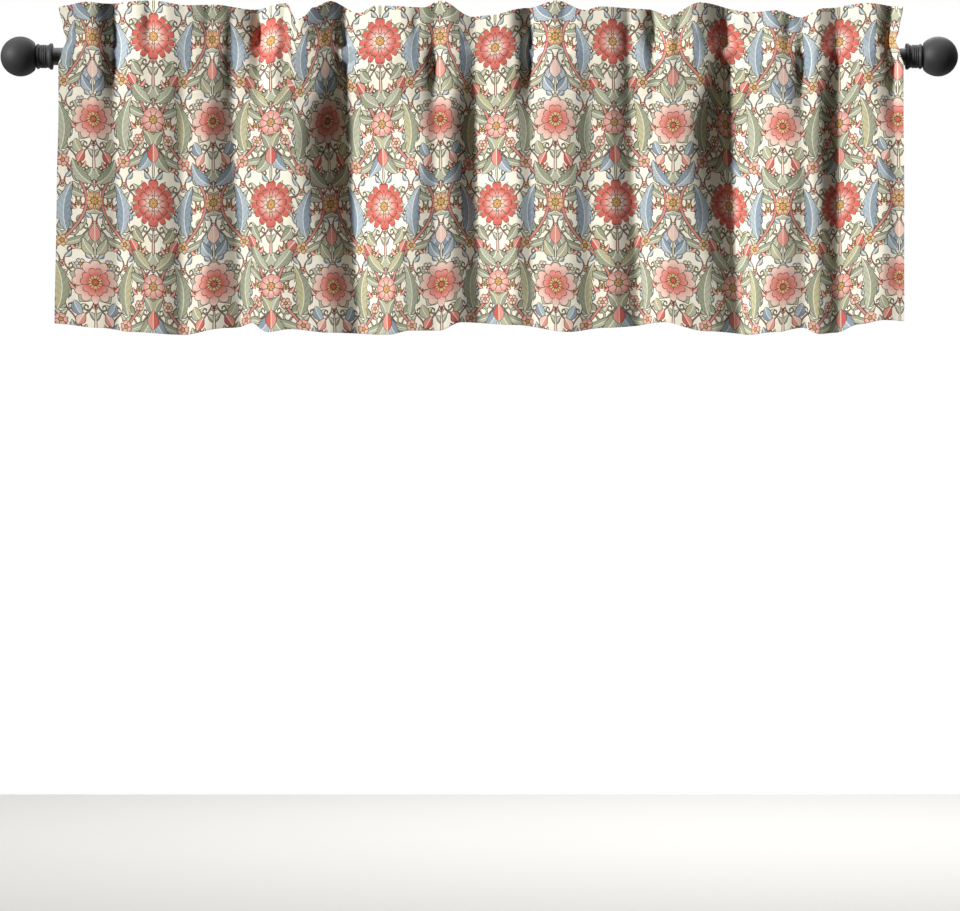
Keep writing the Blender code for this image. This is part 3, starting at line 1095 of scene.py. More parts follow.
@dataclass(frozen=True)
class SewingThread:
    """Beige polyester thread, with painted shade that makes it a little darker in its twists."""

    name: str = "beige thread"
    twist: float = 1400.0
    # Painted shade in the hollows of the twist, lighter on the crowns of the plies
    hollow_shade_dye: Colour = ink(176, 162, 140)
    crown_dye: Colour = ink(216, 203, 180)
    roughness: float = 0.55
    crown_roughness: float = 0.15  # what the crown of a ply adds
    relief: float = 0.4
    depth: float = 0.05 * MM

    def material(self) -> bpy.types.Material:
        """Make the finish."""
        material, graph, shader = new_material(self.name)
        place = graph.out(graph.node("ShaderNodeTexCoord"), "Object")
        x, y, z = graph.split(place)
        ply = graph.math("PINGPONG", (x + z) * self.twist + y * self.twist, 0.5) * 2.0
        # painted shade: darker in the hollows of the twist, lighter on the crowns
        dye = graph.mix(ply, self.hollow_shade_dye, self.crown_dye)
        wire_in(graph, shader, "Base Color", dye)
        wire_in(graph, shader, "Roughness", ply * self.crown_roughness + self.roughness)
        wire_in(graph, shader, "Normal", bump(graph, ply, self.relief, self.depth))
        return material


@dataclass(frozen=True)
class SatinBlack:
    """Satin black powder coat with a fine orange peel and paler rubbed spots."""

    name: str
    base: Colour = ink(36, 36, 38)
    rubbed: Colour = ink(62, 61, 62)
    roughness: float = 0.32
    specular: float = 0.5
    peel_scale: float = 900.0
    peel_depth: float = 0.03 * MM
    peel_relief: float = 0.35
    cloud_scale: float = 0.03  # as a share of the peel's
    cloud_tone: float = 0.35
    cloud_roughness: float = 0.16  # from the smoothest place to the roughest
    polish: float = 0.06  # how much smoother the smoothest place is
    speck_scale: float = 0.6  # as a share of the peel's
    speck_edges: tuple[float, float] = (0.66, 0.72)
    speck_tone: float = 0.25

    def material(self) -> bpy.types.Material:
        """Make the finish."""
        material, graph, shader = new_material(self.name)
        place = graph.out(graph.node("ShaderNodeTexCoord"), "Object")
        peel = graph.noise(place, self.peel_scale)
        cloud = graph.noise(place, self.peel_scale * self.cloud_scale, 3.0)
        specks = graph.noise(place, self.peel_scale * self.speck_scale, 1.0)
        speck = graph.rise(specks, *self.speck_edges)
        dye = graph.mix(cloud * self.cloud_tone, self.base, self.rubbed)
        dye = graph.mix(speck * self.speck_tone, dye, self.rubbed)
        wire_in(graph, shader, "Base Color", dye)
        wire_in(graph, shader, "Roughness", cloud * self.cloud_roughness + (self.roughness - self.polish))
        wire_in(graph, shader, "Normal", bump(graph, peel, self.peel_relief, self.peel_depth))
        shader.inputs["Specular IOR Level"].default_value = self.specular
        return material


@dataclass(frozen=True)
class PaleFloor:
    """A plain pale studio floor."""

    name: str = "pale floor"
    tone: Colour = ink(244, 243, 240)
    cloud_dye: Colour = ink(226, 225, 221)
    cloud_scale: float = 3.0
    cloud_tone: float = 0.1
    roughness: float = 0.9

    def material(self) -> bpy.types.Material:
        """Make the finish."""
        material, graph, shader = new_material(self.name)
        place = graph.out(graph.node("ShaderNodeTexCoord"), "Object")
        cloud = graph.noise(place, self.cloud_scale)
        dye = graph.mix(cloud * self.cloud_tone, self.tone, self.cloud_dye)
        wire_in(graph, shader, "Base Color", dye)
        shader.inputs["Roughness"].default_value = self.roughness
        return material


# Meshes


def add_piece(name: str, mesh: bpy.types.Mesh, materials: Sequence[bpy.types.Material]) -> bpy.types.Object:
    """Make a named object at the origin from a finished mesh."""
    for material in materials:
        mesh.materials.append(material)
    piece = bpy.data.objects.new(name, mesh)
    bpy.context.scene.collection.objects.link(piece)
    return piece


def plain_mesh(built: bmesh.types.BMesh, name: str, sharp_over: float = 180.0) -> bpy.types.Mesh:
    """Turn a bmesh into a smooth mesh with its sharp edges marked."""
    mesh = bpy.data.meshes.new(name)
    built.to_mesh(mesh)
    built.free()
    mesh.shade_smooth()
    mesh.set_sharp_from_angle(angle=math.radians(sharp_over))
    return mesh


def smooth_step(share: np.ndarray) -> np.ndarray:
    """Ease a share in and out between 0 and 1."""
    share = np.clip(share, 0, 1)
    return share * share * (3 - 2 * share)


def eased(value: np.ndarray, places: Sequence[float], amounts: Sequence[float]) -> np.ndarray:
    """Interpolate a table with a smooth step between its rows.

    Args:
        value: Where the table is read.
        places: Place of each row, rising.
        amounts: Amount of each row.

    Returns:
        The amount at each value, level beyond the ends.
    """
    at = np.asarray(places, float)
    amount = np.asarray(amounts, float)
    value = np.clip(value, at[0], at[-1])
    row = np.clip(np.searchsorted(at, value, side="right") - 1, 0, len(at) - 2)
    share = smooth_step((value - at[row]) / (at[row + 1] - at[row]))
    return amount[row] + share * (amount[row + 1] - amount[row])


def ripple(across: np.ndarray, up: np.ndarray, seed: int) -> np.ndarray:
    """Smooth seeded noise from -1 to 1, with a new value at each whole number."""
    size = 256
    lattice = np.random.default_rng(seed).uniform(-1, 1, (size, size))
    column, row = np.floor(across).astype(int), np.floor(up).astype(int)
    right, top = smooth_step(across - column), smooth_step(up - row)
    low = lattice[row % size, column % size] * (1 - right) + lattice[row % size, (column + 1) % size] * right
    row = row + 1
    high = lattice[row % size, column % size] * (1 - right) + lattice[row % size, (column + 1) % size] * right
    return low * (1 - top) + high * top


CLOTH_MAP = "cloth"
BAKE_MAP = "OFBake"


class Fold(NamedTuple):
    """One valley between two crests. All values are in millimetres."""

    at_rod: float  # where the valley lies at the rod
    at_hem: float  # where it lies at the hem
    run_in: float  # width of the steep slope that goes back, on the left
    run_out: float  # width of the long slope that comes forward again
    head: float  # depth from the upper seam to the top edge
    rod: float  # depth at the rod
    mid: float  # depth a third of the way down
    hem: float  # depth at the hem
    taper: float = 1.0  # share of its width that is left at the hem


FOLDS = (
    Fold(-522, -514, 32, 60, 15, 10, 7, 5),
    Fold(-471, -471, 24, 28, 5.5, 1, 0, 0),
    Fold(-423, -424, 34, 33, 1, 2, 6, 5.5),
    Fold(-387, -387, 24, 26, 3, 0.5, 0, 0),
    Fold(-354, -340, 36, 84, 9, 8.5, 14, 10.5),
    Fold(-314, -313, 42, 34, 17, 7.5, 0, 0),
    Fold(-280, -280, 24, 28, 5, 2, 0.5, 0),
    Fold(-192, -171, 66, 115, 19, 13.5, 36, 12, 0.55),
    Fold(-89, -89, 24, 24, 4.5, 0.5, 0, 0),
    Fold(-64, -62, 26, 24, 6, 6.5, 4.5, 2),
    Fold(-6, 1, 42, 60, 7, 8, 20, 12),
    Fold(72, 76, 33, 50, 14.5, 11, 7, 6),
    Fold(120, 120, 24, 24, 4, 0.5, 0, 0),
    Fold(157, 160, 30, 26, 1, 1.5, 6, 4.5),
    Fold(214, 229, 32, 60, 7, 5.5, 11, 9.5),
    Fold(250, 252, 30, 34, 13, 4.5, 0, 0),
    Fold(284, 284, 24, 28, 6.5, 1, 0, 0),
    Fold(355, 373, 60, 105, 17, 13.5, 34, 11.5, 0.55),
    Fold(396, 396, 24, 24, 3.5, 0.5, 0, 0),
    Fold(442, 442, 24, 24, 5.5, 1, 0, 0),
    Fold(461, 464, 26, 24, 7, 7, 5.5, 3.5),
    Fold(512, 515, 36, 66, 8, 8.5, 19, 10),
    Fold(590, 594, 26, 14, 7, 6.5, 2.5, 1),
)


class Crease(NamedTuple):
    """A short trough where the gathers pinch the cloth. All values are in millimetres."""

    along: float  # where its valley lies
    run_in: float  # width of its steep side, on the left
    run_out: float  # width of its other side
    depth: float
    level: float  # height of its deepest point
    reach: float  # how far above and below that it dies away


CREASES = (
    Crease(-522, 13, 22, 7.0, 10, 40),
    Crease(-471, 10, 16, 3.5, 44, 28),
    Crease(-387, 9, 14, 2.0, 44, 24),
    Crease(-354, 10, 16, 2.5, 20, 40),
    Crease(-314, 14, 24, 7.0, 22, 34),
    Crease(-280, 10, 16, 2.5, 40, 30),
    Crease(-192, 14, 24, 6.0, 6, 46),
    Crease(-89, 9, 14, 2.5, 44, 26),
    Crease(-64, 9, 14, 3.5, -12, 30),
    Crease(72, 13, 22, 7.0, 12, 40),
    Crease(120, 9, 14, 2.0, 44, 24),
    Crease(214, 9, 14, 2.0, 20, 34),
    Crease(250, 13, 20, 6.5, 26, 32),
    Crease(284, 10, 16, 3.0, 40, 30),
    Crease(355, 14, 22, 6.0, 2, 46),
    Crease(442, 9, 14, 2.5, 40, 28),
    Crease(461, 9, 14, 4.0, -8, 32),
    Crease(512, 10, 16, 2.5, -4, 36),
    Crease(590, 8, 10, 3.5, 4, 40),
)


class EdgePoint(NamedTuple):
    """A point of the top edge or the hem, in millimetres along and above its mean."""

    along: float
    rise: float


HEADER_EDGE = (
    EdgePoint(-600, 1),
    EdgePoint(-560, 8),
    EdgePoint(-537, 6),
    EdgePoint(-471, 10),
    EdgePoint(-417, 3),
    EdgePoint(-377, 4),
    EdgePoint(-325, -2),
    EdgePoint(-276, 6),
    EdgePoint(-261, -19),
    EdgePoint(-250, -13),
    EdgePoint(-237, 0),
    EdgePoint(-213, 10),
    EdgePoint(-172, -7),
    EdgePoint(-148, 3),
    EdgePoint(-79, 0),
    EdgePoint(-56, 10),
    EdgePoint(-10, -13),
    EdgePoint(13, -11),
    EdgePoint(70, 0),
    EdgePoint(110, 10),
    EdgePoint(150, -4),
    EdgePoint(173, 1),
    EdgePoint(242, -2),
    EdgePoint(270, -11),
    EdgePoint(316, 7),
    EdgePoint(390, -6),
    EdgePoint(425, -4),
    EdgePoint(459, -14),
    EdgePoint(493, -1),
    EdgePoint(551, 6),
    EdgePoint(604, 1),
)

HEM_EDGE = (
    EdgePoint(-606, 8),
    EdgePoint(-548, 1),
    EdgePoint(-500, -5),
    EdgePoint(-422, -9),
    EdgePoint(-365, 1),
    EdgePoint(-331, 8),
    EdgePoint(-302, -5),
    EdgePoint(-271, -1),
    EdgePoint(-228, -6),
    EdgePoint(-142, -9),
    EdgePoint(-100, -3),
    EdgePoint(-60, -3),
    EdgePoint(-30, 9),
    EdgePoint(47, 5),
    EdgePoint(127, -5),
    EdgePoint(173, 1),
    EdgePoint(264, 9),
    EdgePoint(316, -4),
    EdgePoint(379, -9),
    EdgePoint(425, -5),
    EdgePoint(459, 1),
    EdgePoint(482, -8),
    EdgePoint(505, -6),
    EdgePoint(539, 6),
    EdgePoint(573, 12),
    EdgePoint(606, 11),
)


class Level(NamedTuple):
    """A height on the cloth, with what changes there, all in millimetres."""

    height: float
    crest: float  # how far forward the crests stand, towards -Y
    left: float  # sideways shift of the left edge
    right: float  # sideways shift of the right edge


LEVELS = (
    Level(-389, 20, -6, 2.5),
    Level(-200, 20, -3, 2.5),
    Level(-70, 23, 0, 1),
    Level(-14, 26.5, 0, 1),
    Level(2, 26.5, 4, -4),
    Level(22, 22, 11, -10),
    Level(40, 19.6, 6, -5),
    Level(68, 19, 0, 0),
)


class Pucker(NamedTuple):
    """Small creases along a line of stitches, or all over. Lengths in millimetres."""

    level: float | None  # height of the line; None is all over
    reach: float  # how far from the line they die away
    across: float  # pitch along the rod
    up: float  # pitch up the cloth
    rise: float
    seed: int


PUCKERS = (
    Pucker(22.0, 15.0, 9.0, 26.0, 0.9, 11),
    Pucker(-56.0, 14.0, 11.0, 24.0, 0.6, 12),
    Pucker(None, 1.0, 46.0, 130.0, 0.8, 13),
    Pucker(None, 1.0, 17.0, 60.0, 0.25, 14),
)
HEM_PUCKER = Pucker(0.0, 16.0, 13.0, 22.0, 0.5, 15)
BACK_PUCKER = Pucker(None, 1.0, 27.0, 60.0, 1.2, 21)


class SheetRow(NamedTuple):
    """One row of the sheet: its points from left to right, and its place on the flat cloth."""

    points: np.ndarray
    flat: np.ndarray


@dataclass
class Valance:
    """The gathered cloth: one sheet from its hem over the top edge to the pocket's back."""

    left_edge: float = -600.0 * MM
    right_edge: float = 604.0 * MM
    header_top: float = 68.0 * MM
    upper_seam: float = 22.0 * MM
    lower_seam: float = -56.0 * MM
    hem_level: float = -389.0 * MM
    flat_width: float = 1321.0 * MM
    flat_drop: float = 457.0 * MM
    flat_length: float = 640.0 * MM
    thickness: float = 0.7 * MM
    layer_gap: float = 0.95 * MM  # between the middles of two layers that are sewn together
    hem_depth: float = 38.0 * MM
    side_hem: float = 13.0 * MM
    side_hem_extra: float = 0.5 * MM
    side_hem_edge: float = 0.7 * MM  # half width of the step at its inner edge
    side_stitch_inset: float = 2.0 * MM  # from that edge to its stitches
    rod_radius: float = 12.5 * MM
    rod_gap: float = 0.35 * MM
    rod_softness: float = 3.0 * MM  # how gently the cloth leaves the rod
    pocket_bulge: float = 4.0 * MM
    back_follows: float = 0.3
    lobe_rise: float = 3.0 * MM
    slope_power: float = 1.45  # how much the steep slope steepens towards its valley
    return_power: float = 1.1  # the same for the long slope
    full_height: float = 9.0  # least mid depth, in millimetres, of a full-height fold
    deepest_level: float = -120.0 * MM
    pocket_level: float = -10.0 * MM
    gathered_level: float = 30.0 * MM
    width_shares: tuple[float, ...] = (0.85, 1.0, 0.58, 0.85)  # of a fold, from the hem to the gathers
    crease_rounding: float = 2.5 * MM
    pinch_rounding: float = 1.5 * MM
    edge_reach: float = 45.0 * MM
    station_count: int = 440
    trial_count: int = 4001  # places at which the slopes are tried
    slope_weight: float = 1.3
    slope_limit: float = 4.0
    side_weight: float = 3.0  # at the inner edges of the side hems
    side_reach: float = 2.5 * MM
    normal_step: float = 0.5 * MM  # over which the cloth's slope is taken
    sharp_over: float = math.radians(62)
    bake_margin: float = 10.0 * MM
    reverse_at: float = 0.5  # where the reverse starts on the map for baking
    pocket_take_up: float = 1.15  # flat length of the pocket's back for its height
    flap_lifts: tuple[float, ...] = (38.0, 37.0, 34.0, 24.0, 13.0, 4.0)
    hem_stitch_lift: float = 37.0
    allowance_falls: tuple[float, ...] = (1.5, 5.0, 9.0)
    drop_height: float = 333.0 * MM  # from the mean hem to the lower seam
    drop_lifts: tuple[float, ...] = (
        0, 2, 6, 13, 22, 31, 35, 37, 38.5, 42, 52, 66, 82, 100, 118, 136, 154, 172, 190, 208,
        226, 244, 262, 279, 295, 308, 318, 325, 330,
    )  # fmt: skip
    pocket_heights: tuple[float, ...] = (
        -56, -54.5, -51, -46, -40, -34, -28, -23, -19, -15.5, -12.7, -10.2, -7.4, -4.3, -1.4, 1.4,
        4.3, 7.2, 9.9, 12.2, 14.5, 17, 19.5, 21, 22,
    )  # fmt: skip
    header_shares: tuple[float, ...] = (0.03, 0.08, 0.17, 0.29, 0.43, 0.57, 0.7, 0.82, 0.91, 0.97, 1.0)
    back_heights: tuple[float, ...] = (
        22, 20.5, 17, 12.5, 8, 3.5, -1, -5.5, -10, -15, -20, -26, -32, -38, -44, -49, -53, -56,
    )  # fmt: skip
    fold_turns: tuple[float, ...] = (150, 110, 70, 30)
    rows: dict[str, int] = field(default_factory=dict)
    grid: np.ndarray = field(default_factory=lambda: np.zeros(0))
    normals: np.ndarray = field(default_factory=lambda: np.zeros(0))
    half: np.ndarray = field(default_factory=lambda: np.zeros(0))
    along: np.ndarray = field(default_factory=lambda: np.zeros(0))

    def edge_height(self, along: np.ndarray, mean: float, points: Sequence[EdgePoint]) -> np.ndarray:
        """Height of a wavy edge at each place along the rod."""
        return mean + eased(along, [p.along * MM for p in points], [p.rise * MM for p in points])

    def level_value(self, height: np.ndarray, column: str) -> np.ndarray:
        """One column of the levels table at each height, in metres."""
        amounts = [getattr(level, column) * MM for level in LEVELS]
        return eased(height, [level.height * MM for level in LEVELS], amounts)

    def lobe(self, along: np.ndarray) -> np.ndarray:
        """Soft rounding of the cloth from each full-height fold to the next."""
        valleys = [fold.at_rod * MM for fold in FOLDS if fold.mid >= self.full_height]
        bounds = [self.left_edge, *valleys, self.right_edge]
        phase = np.interp(along, bounds, np.arange(len(bounds)))
        return self.lobe_rise * np.sin(np.pi * (phase % 1)) ** 2

    def valleys(self, along: np.ndarray, height: np.ndarray) -> np.ndarray:
        """Depth of the folds alone."""
        heights = (self.hem_level, self.deepest_level, self.pocket_level, self.gathered_level)
        width = eased(height, heights, self.width_shares)
        depth = np.zeros(np.broadcast(along, height).shape)
        for fold in FOLDS:
            offset = along - fold.at_rod * MM
            rounded = np.hypot(offset, self.crease_rounding) - self.crease_rounding
            taper = eased(height, heights, (fold.taper, 1.0, 1.0, 1.0))
            run = np.where(offset < 0, fold.run_in, fold.run_out) * width * taper * MM
            power = np.where(offset < 0, self.slope_power, self.return_power)
            shape = np.clip(1 - rounded / run, 0, 1) ** power
            depths = [value * MM for value in (fold.hem, fold.mid, fold.rod, fold.head)]
            depth += shape * eased(height, heights, depths)
        return depth

    def creases(self, along: np.ndarray, height: np.ndarray) -> np.ndarray:
        """Depth of the short troughs that the gathers pinch into the folds."""
        depth = np.zeros(np.broadcast(along, height).shape)
        for crease in CREASES:
            offset = along - crease.along * MM
            rounded = np.hypot(offset, self.pinch_rounding) - self.pinch_rounding
            run = np.where(offset < 0, crease.run_in, crease.run_out) * MM
            shape = np.clip(1 - rounded / run, 0, 1) ** self.slope_power
            fade = np.exp(-(((height / MM - crease.level) / crease.reach) ** 2))
            depth += shape * fade * crease.depth * MM
        return depth

    def fold_depth(self, along: np.ndarray, height: np.ndarray) -> np.ndarray:
        """How far the cloth lies behind its crests."""
        return self.valleys(along, height) + self.creases(along, height) - self.lobe(along)

    def puckers(self, along: np.ndarray, height: np.ndarray) -> np.ndarray:
        """Small creases along the seams, in the hem and over the cloth."""
        hem = self.edge_height(along, self.hem_level, HEM_EDGE)
        total = np.zeros(np.shape(height))
        for kind in (*PUCKERS, HEM_PUCKER):
            base = height if kind is not HEM_PUCKER else height - hem - self.hem_depth
            wave = ripple(along / (kind.across * MM), base / (kind.up * MM), kind.seed)
            near = 1.0
            if kind.level is not None:
                near = np.exp(-np.abs(base - kind.level * MM) / (kind.reach * MM))
            total = total + kind.rise * MM * wave * near
        return total

    def side_extra(self, along: np.ndarray) -> np.ndarray:
        """Extra thickness of the turned side hems."""
        edge = np.minimum(along - self.left_edge, self.right_edge - along)
        return self.side_hem_extra * smooth_step(
            (self.side_hem + self.side_hem_edge - edge) / (2 * self.side_hem_edge)
        )

    def place_across(self, along: np.ndarray, height: np.ndarray) -> np.ndarray:
        """X of a thread: its place at the rod, its lean and the edges' pinch."""
        places = [self.left_edge, *(fold.at_rod * MM for fold in FOLDS), self.right_edge]
        leans = [0.0, *((fold.at_hem - fold.at_rod) * MM for fold in FOLDS), 0.0]
        lean = np.clip(height / self.hem_level, 0, 1) * np.interp(along, places, leans)
        near_left = np.clip(1 - (along - self.left_edge) / self.edge_reach, 0, 1)
        near_right = np.clip(1 - (self.right_edge - along) / self.edge_reach, 0, 1)
        pinch = near_left * self.level_value(height, "left") + near_right * self.level_value(height, "right")
        return along + lean + pinch

    def clearance(self, along: np.ndarray, height: np.ndarray) -> np.ndarray:
        """Least distance in Y from the rod's axis to the middle of the cloth."""
        radius = self.rod_radius + self.rod_gap + self.thickness / 2 + self.side_extra(along)
        return np.sqrt(np.clip(radius**2 - height**2, 0, None))

    def front(self, along: np.ndarray, height: np.ndarray) -> np.ndarray:
        """Points of the front layer."""
        lie = self.fold_depth(along, height) - self.level_value(height, "crest")
        lie = lie + self.puckers(along, height)
        clear = self.clearance(along, height)
        softness = self.rod_softness * clear / self.rod_radius
        forward = (clear - lie + np.sqrt((clear + lie) ** 2 + softness**2)) / 2
        soft = np.where(clear > 0, -forward, lie)
        return np.stack([self.place_across(along, height), soft, height], axis=-1)

    def behind(self, along: np.ndarray, height: np.ndarray, gap: np.ndarray) -> np.ndarray:
        """Points that lie a gap behind the front layer."""
        step = self.normal_step
        across = self.front(along + step, height) - self.front(along - step, height)
        upward = self.front(along, height + step) - self.front(along, height - step)
        normal = np.cross(upward, across)
        normal /= np.linalg.norm(normal, axis=-1, keepdims=True)
        return self.front(along, height) + normal * np.expand_dims(gap, -1)

    def turn_over(
        self, along: np.ndarray, height: np.ndarray, gap: np.ndarray, upward: float
    ) -> list[np.ndarray]:
        """Rows round an edge where the cloth is folded.

        Args:
            along: Place of each station along the rod.
            height: Height of the edge at each station.
            gap: From the front layer to the back one.
            upward: 1 for the top edge, -1 for the hem.

        Returns:
            The rows, from front to back.
        """
        near, far = self.front(along, height), self.behind(along, height, gap)
        rows = []
        for degrees in self.fold_turns:
            turn = math.radians(degrees)
            row = near + (far - near) * (1 + math.cos(turn)) / 2
            row[:, 2] += upward * math.sin(turn) * gap / 2
            rows.append(row)
        return rows

    def pocket_back(self, along: np.ndarray, height: float, gap: np.ndarray) -> np.ndarray:
        """One row of the pocket's back.

        Args:
            along: Place of each station along the rod.
            height: Height of the row.
            gap: From the front layer to the back one at the seams.

        Returns:
            Its points.
        """
        level = np.full_like(along, height)
        share = (height - self.lower_seam) / (self.upper_seam - self.lower_seam)
        low = self.behind(along, np.full_like(along, self.lower_seam), gap)
        high = self.behind(along, np.full_like(along, self.upper_seam), gap)
        line = low + share * (high - low)
        billow = math.sin(math.pi * share)
        depth = self.fold_depth(along, level)
        stand_off = self.rod_radius + self.pocket_bulge + self.back_follows * depth
        kind = BACK_PUCKER
        wave = ripple(along / (kind.across * MM), level / (kind.up * MM), kind.seed)
        stand_off = stand_off + kind.rise * MM * wave
        back = line[:, 1] + billow * (stand_off - line[:, 1])
        clear = self.clearance(along, level)
        back = np.where(clear > 0, np.maximum(back, clear), back)
        across = self.place_across(along, level)
        across = across + (1 - billow) * (line[:, 0] - across)
        return np.stack([across, back, level], axis=-1)

    def stations(self) -> np.ndarray:
        """Places along the rod where the sheet has a section, closer at creases and hems."""
        fine = np.linspace(self.left_edge, self.right_edge, self.trial_count)
        heights = (self.hem_level, self.deepest_level, self.pocket_level, self.header_top)
        levels = np.array(heights)[:, None]
        slopes = np.gradient(self.fold_depth(fine[None, :], levels), fine, axis=1)
        weight = 1 + self.slope_weight * np.clip(np.abs(slopes).max(axis=0), 0, self.slope_limit)
        edge = np.minimum(fine - self.left_edge, self.right_edge - fine)
        weight += self.side_weight * np.exp(-(((edge - self.side_hem) / self.side_reach) ** 2))
        total = np.concatenate([[0], np.cumsum((weight[1:] + weight[:-1]) / 2)])
        return np.interp(np.linspace(0, total[-1], self.station_count), total, fine)

    def lay(self) -> list[SheetRow]:
        """All rows of the sheet, from the hem flap's edge to the pocket's back."""
        along = self.stations()
        hem = self.edge_height(along, self.hem_level, HEM_EDGE)
        top = self.edge_height(along, self.header_top, HEADER_EDGE)
        gap = self.layer_gap + 2 * self.side_extra(along)
        scale = self.flat_drop / (top - hem)
        laid: list[SheetRow] = []

        def put(points: np.ndarray, flat: np.ndarray | float) -> None:
            """Add one row."""
            laid.append(SheetRow(points, np.broadcast_to(flat, along.shape)))

        for lift in self.flap_lifts:
            put(self.behind(along, hem + lift * MM, gap), -lift * MM)
        self.rows["flap"] = 1
        for row in reversed(self.turn_over(along, hem, gap, -1.0)):
            put(row, 0.0)
        for lift in self.drop_lifts:
            height = hem + lift * MM / self.drop_height * (self.lower_seam - hem)
            if lift == self.hem_stitch_lift:
                self.rows["hem"] = len(laid)
            put(self.front(along, height), (height - hem) * scale)
        self.rows["lower"] = len(laid)
        for height in self.pocket_heights:
            level = np.full_like(along, height * MM)
            put(self.front(along, level), (level - hem) * scale)
        self.rows["upper"] = len(laid) - 1
        for share in self.header_shares:
            height = self.upper_seam + share * (top - self.upper_seam)
            put(self.front(along, height), (height - hem) * scale)
        self.rows["top"] = len(laid) - 1
        for row in self.turn_over(along, top, gap, 1.0):
            put(row, self.flat_drop)
        for share in reversed(self.header_shares[:-1]):
            height = self.upper_seam + share * (top - self.upper_seam)
            put(self.behind(along, height, gap), self.flat_drop + (top - height) * scale)
        self.rows["upper back"] = len(laid)
        header = self.flat_drop + (top - self.upper_seam) * scale
        for height in self.back_heights:
            put(
                self.pocket_back(along, height * MM, gap),
                header + (self.upper_seam - height * MM) * self.pocket_take_up,
            )
        self.rows["lower back"] = len(laid) - 1
        pocket = header + (self.upper_seam - self.lower_seam) * self.pocket_take_up
        for fall in self.allowance_falls:
            level = np.full_like(along, self.lower_seam - fall * MM)
            put(self.behind(along, level, gap), pocket + fall * MM)
        self.along = along
        return laid

    def flat_across(self) -> np.ndarray:
        """Place of each station on the flat cloth, from the length of a row halfway down."""
        row = self.front(self.along, np.full_like(self.along, self.deepest_level))
        steps = np.linalg.norm(np.diff(row, axis=0), axis=1)
        run = np.concatenate([[0], np.cumsum(steps)])
        LOG.info("cloth is %.0f mm wide on its folds", run[-1] / MM)
        return run / run[-1] * self.flat_width

    def mesh(self) -> bpy.types.Mesh:
        """The sheet as a closed mesh with its maps."""
        laid = self.lay()
        self.grid = np.array([row.points for row in laid])
        flat = np.array([row.flat for row in laid])
        normals = np.cross(np.gradient(self.grid, axis=0), np.gradient(self.grid, axis=1))
        self.normals = normals / np.linalg.norm(normals, axis=-1, keepdims=True)
        self.half = np.full(flat.shape, self.thickness / 2)
        back = self.half + self.side_extra(self.along)[None, :]
        face = self.grid - self.normals * self.half[..., None]
        reverse = self.grid + self.normals * back[..., None]
        rows, count = flat.shape
        index = np.arange(rows * count).reshape(rows, count)
        quads = np.stack([index[:-1, :-1], index[:-1, 1:], index[1:, 1:], index[1:, :-1]], -1).reshape(-1, 4)
        far = rows * count
        edge = np.concatenate([index[0, :], index[1:, -1], index[-1, -2::-1], index[-2:0:-1, 0]])
        following = np.roll(edge, -1)
        rim = np.stack([edge, edge + far, following + far, following], -1)
        faces = np.concatenate([quads, quads[:, ::-1] + far, rim])
        points = np.concatenate([face.reshape(-1, 3), reverse.reshape(-1, 3)])

        mesh = bpy.data.meshes.new("valance_cloth")
        mesh.from_pydata(points.tolist(), [], faces.tolist())
        slots = np.zeros(len(faces), np.int32)
        slots[len(quads) : 2 * len(quads)] = 1
        mesh.polygons.foreach_set("material_index", slots)
        across = np.broadcast_to(self.flat_across(), flat.shape)
        place = np.stack([across, flat], -1).reshape(-1, 2)
        corners = place[faces.reshape(-1) % far]
        cloth_map = mesh.uv_layers.new(name=CLOTH_MAP)
        cloth_map.data.foreach_set("uv", corners.astype(np.float32).ravel())
        shift = [self.bake_margin, self.bake_margin + self.hem_depth]
        bake = (corners + shift) / (self.flat_width + 2 * self.bake_margin)
        bake[:, 1] += np.repeat(slots, 4) * self.reverse_at
        bake_map = mesh.uv_layers.new(name=BAKE_MAP)
        bake_map.data.foreach_set("uv", bake.astype(np.float32).ravel())
        mesh.update()
        mesh.shade_smooth()
        mesh.set_sharp_from_angle(angle=self.sharp_over)
        LOG.info("cloth has %d faces", len(faces))
        return mesh

    def build(self) -> bpy.types.Object:
        piece = add_piece("valance_cloth", self.mesh(), [PrintedFace().material(), PlainReverse().material()])
        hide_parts("valance")
        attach(piece, "root")
        return piece

    def stitch_lines(self) -> list[tuple[np.ndarray, np.ndarray]]:
        """Routes of the stitch lines on the cloth, each with the way its stitches face."""
        face = self.grid - self.normals * self.half[..., None]
        out = -self.normals
        lines = [(face[self.rows[name]], out[self.rows[name]]) for name in self.rows if name != "top"]
        inset = self.side_hem - self.side_stitch_inset
        near = int(np.argmin(np.abs(self.along - self.left_edge - inset)))
        far = int(np.argmin(np.abs(self.right_edge - self.along - inset)))
        drop = slice(self.rows["hem"], self.rows["top"] + 1)
        behind = slice(self.rows["hem"], self.rows["lower"] - 1)
        for column in (near, far):
            lines.append((face[drop, column], out[drop, column]))
            extra = self.half[behind, column] + self.side_hem_extra
            back = self.grid[behind, column] + self.normals[behind, column] * extra[:, None]
            lines.append((back, self.normals[behind, column]))
        return lines


# Sewing


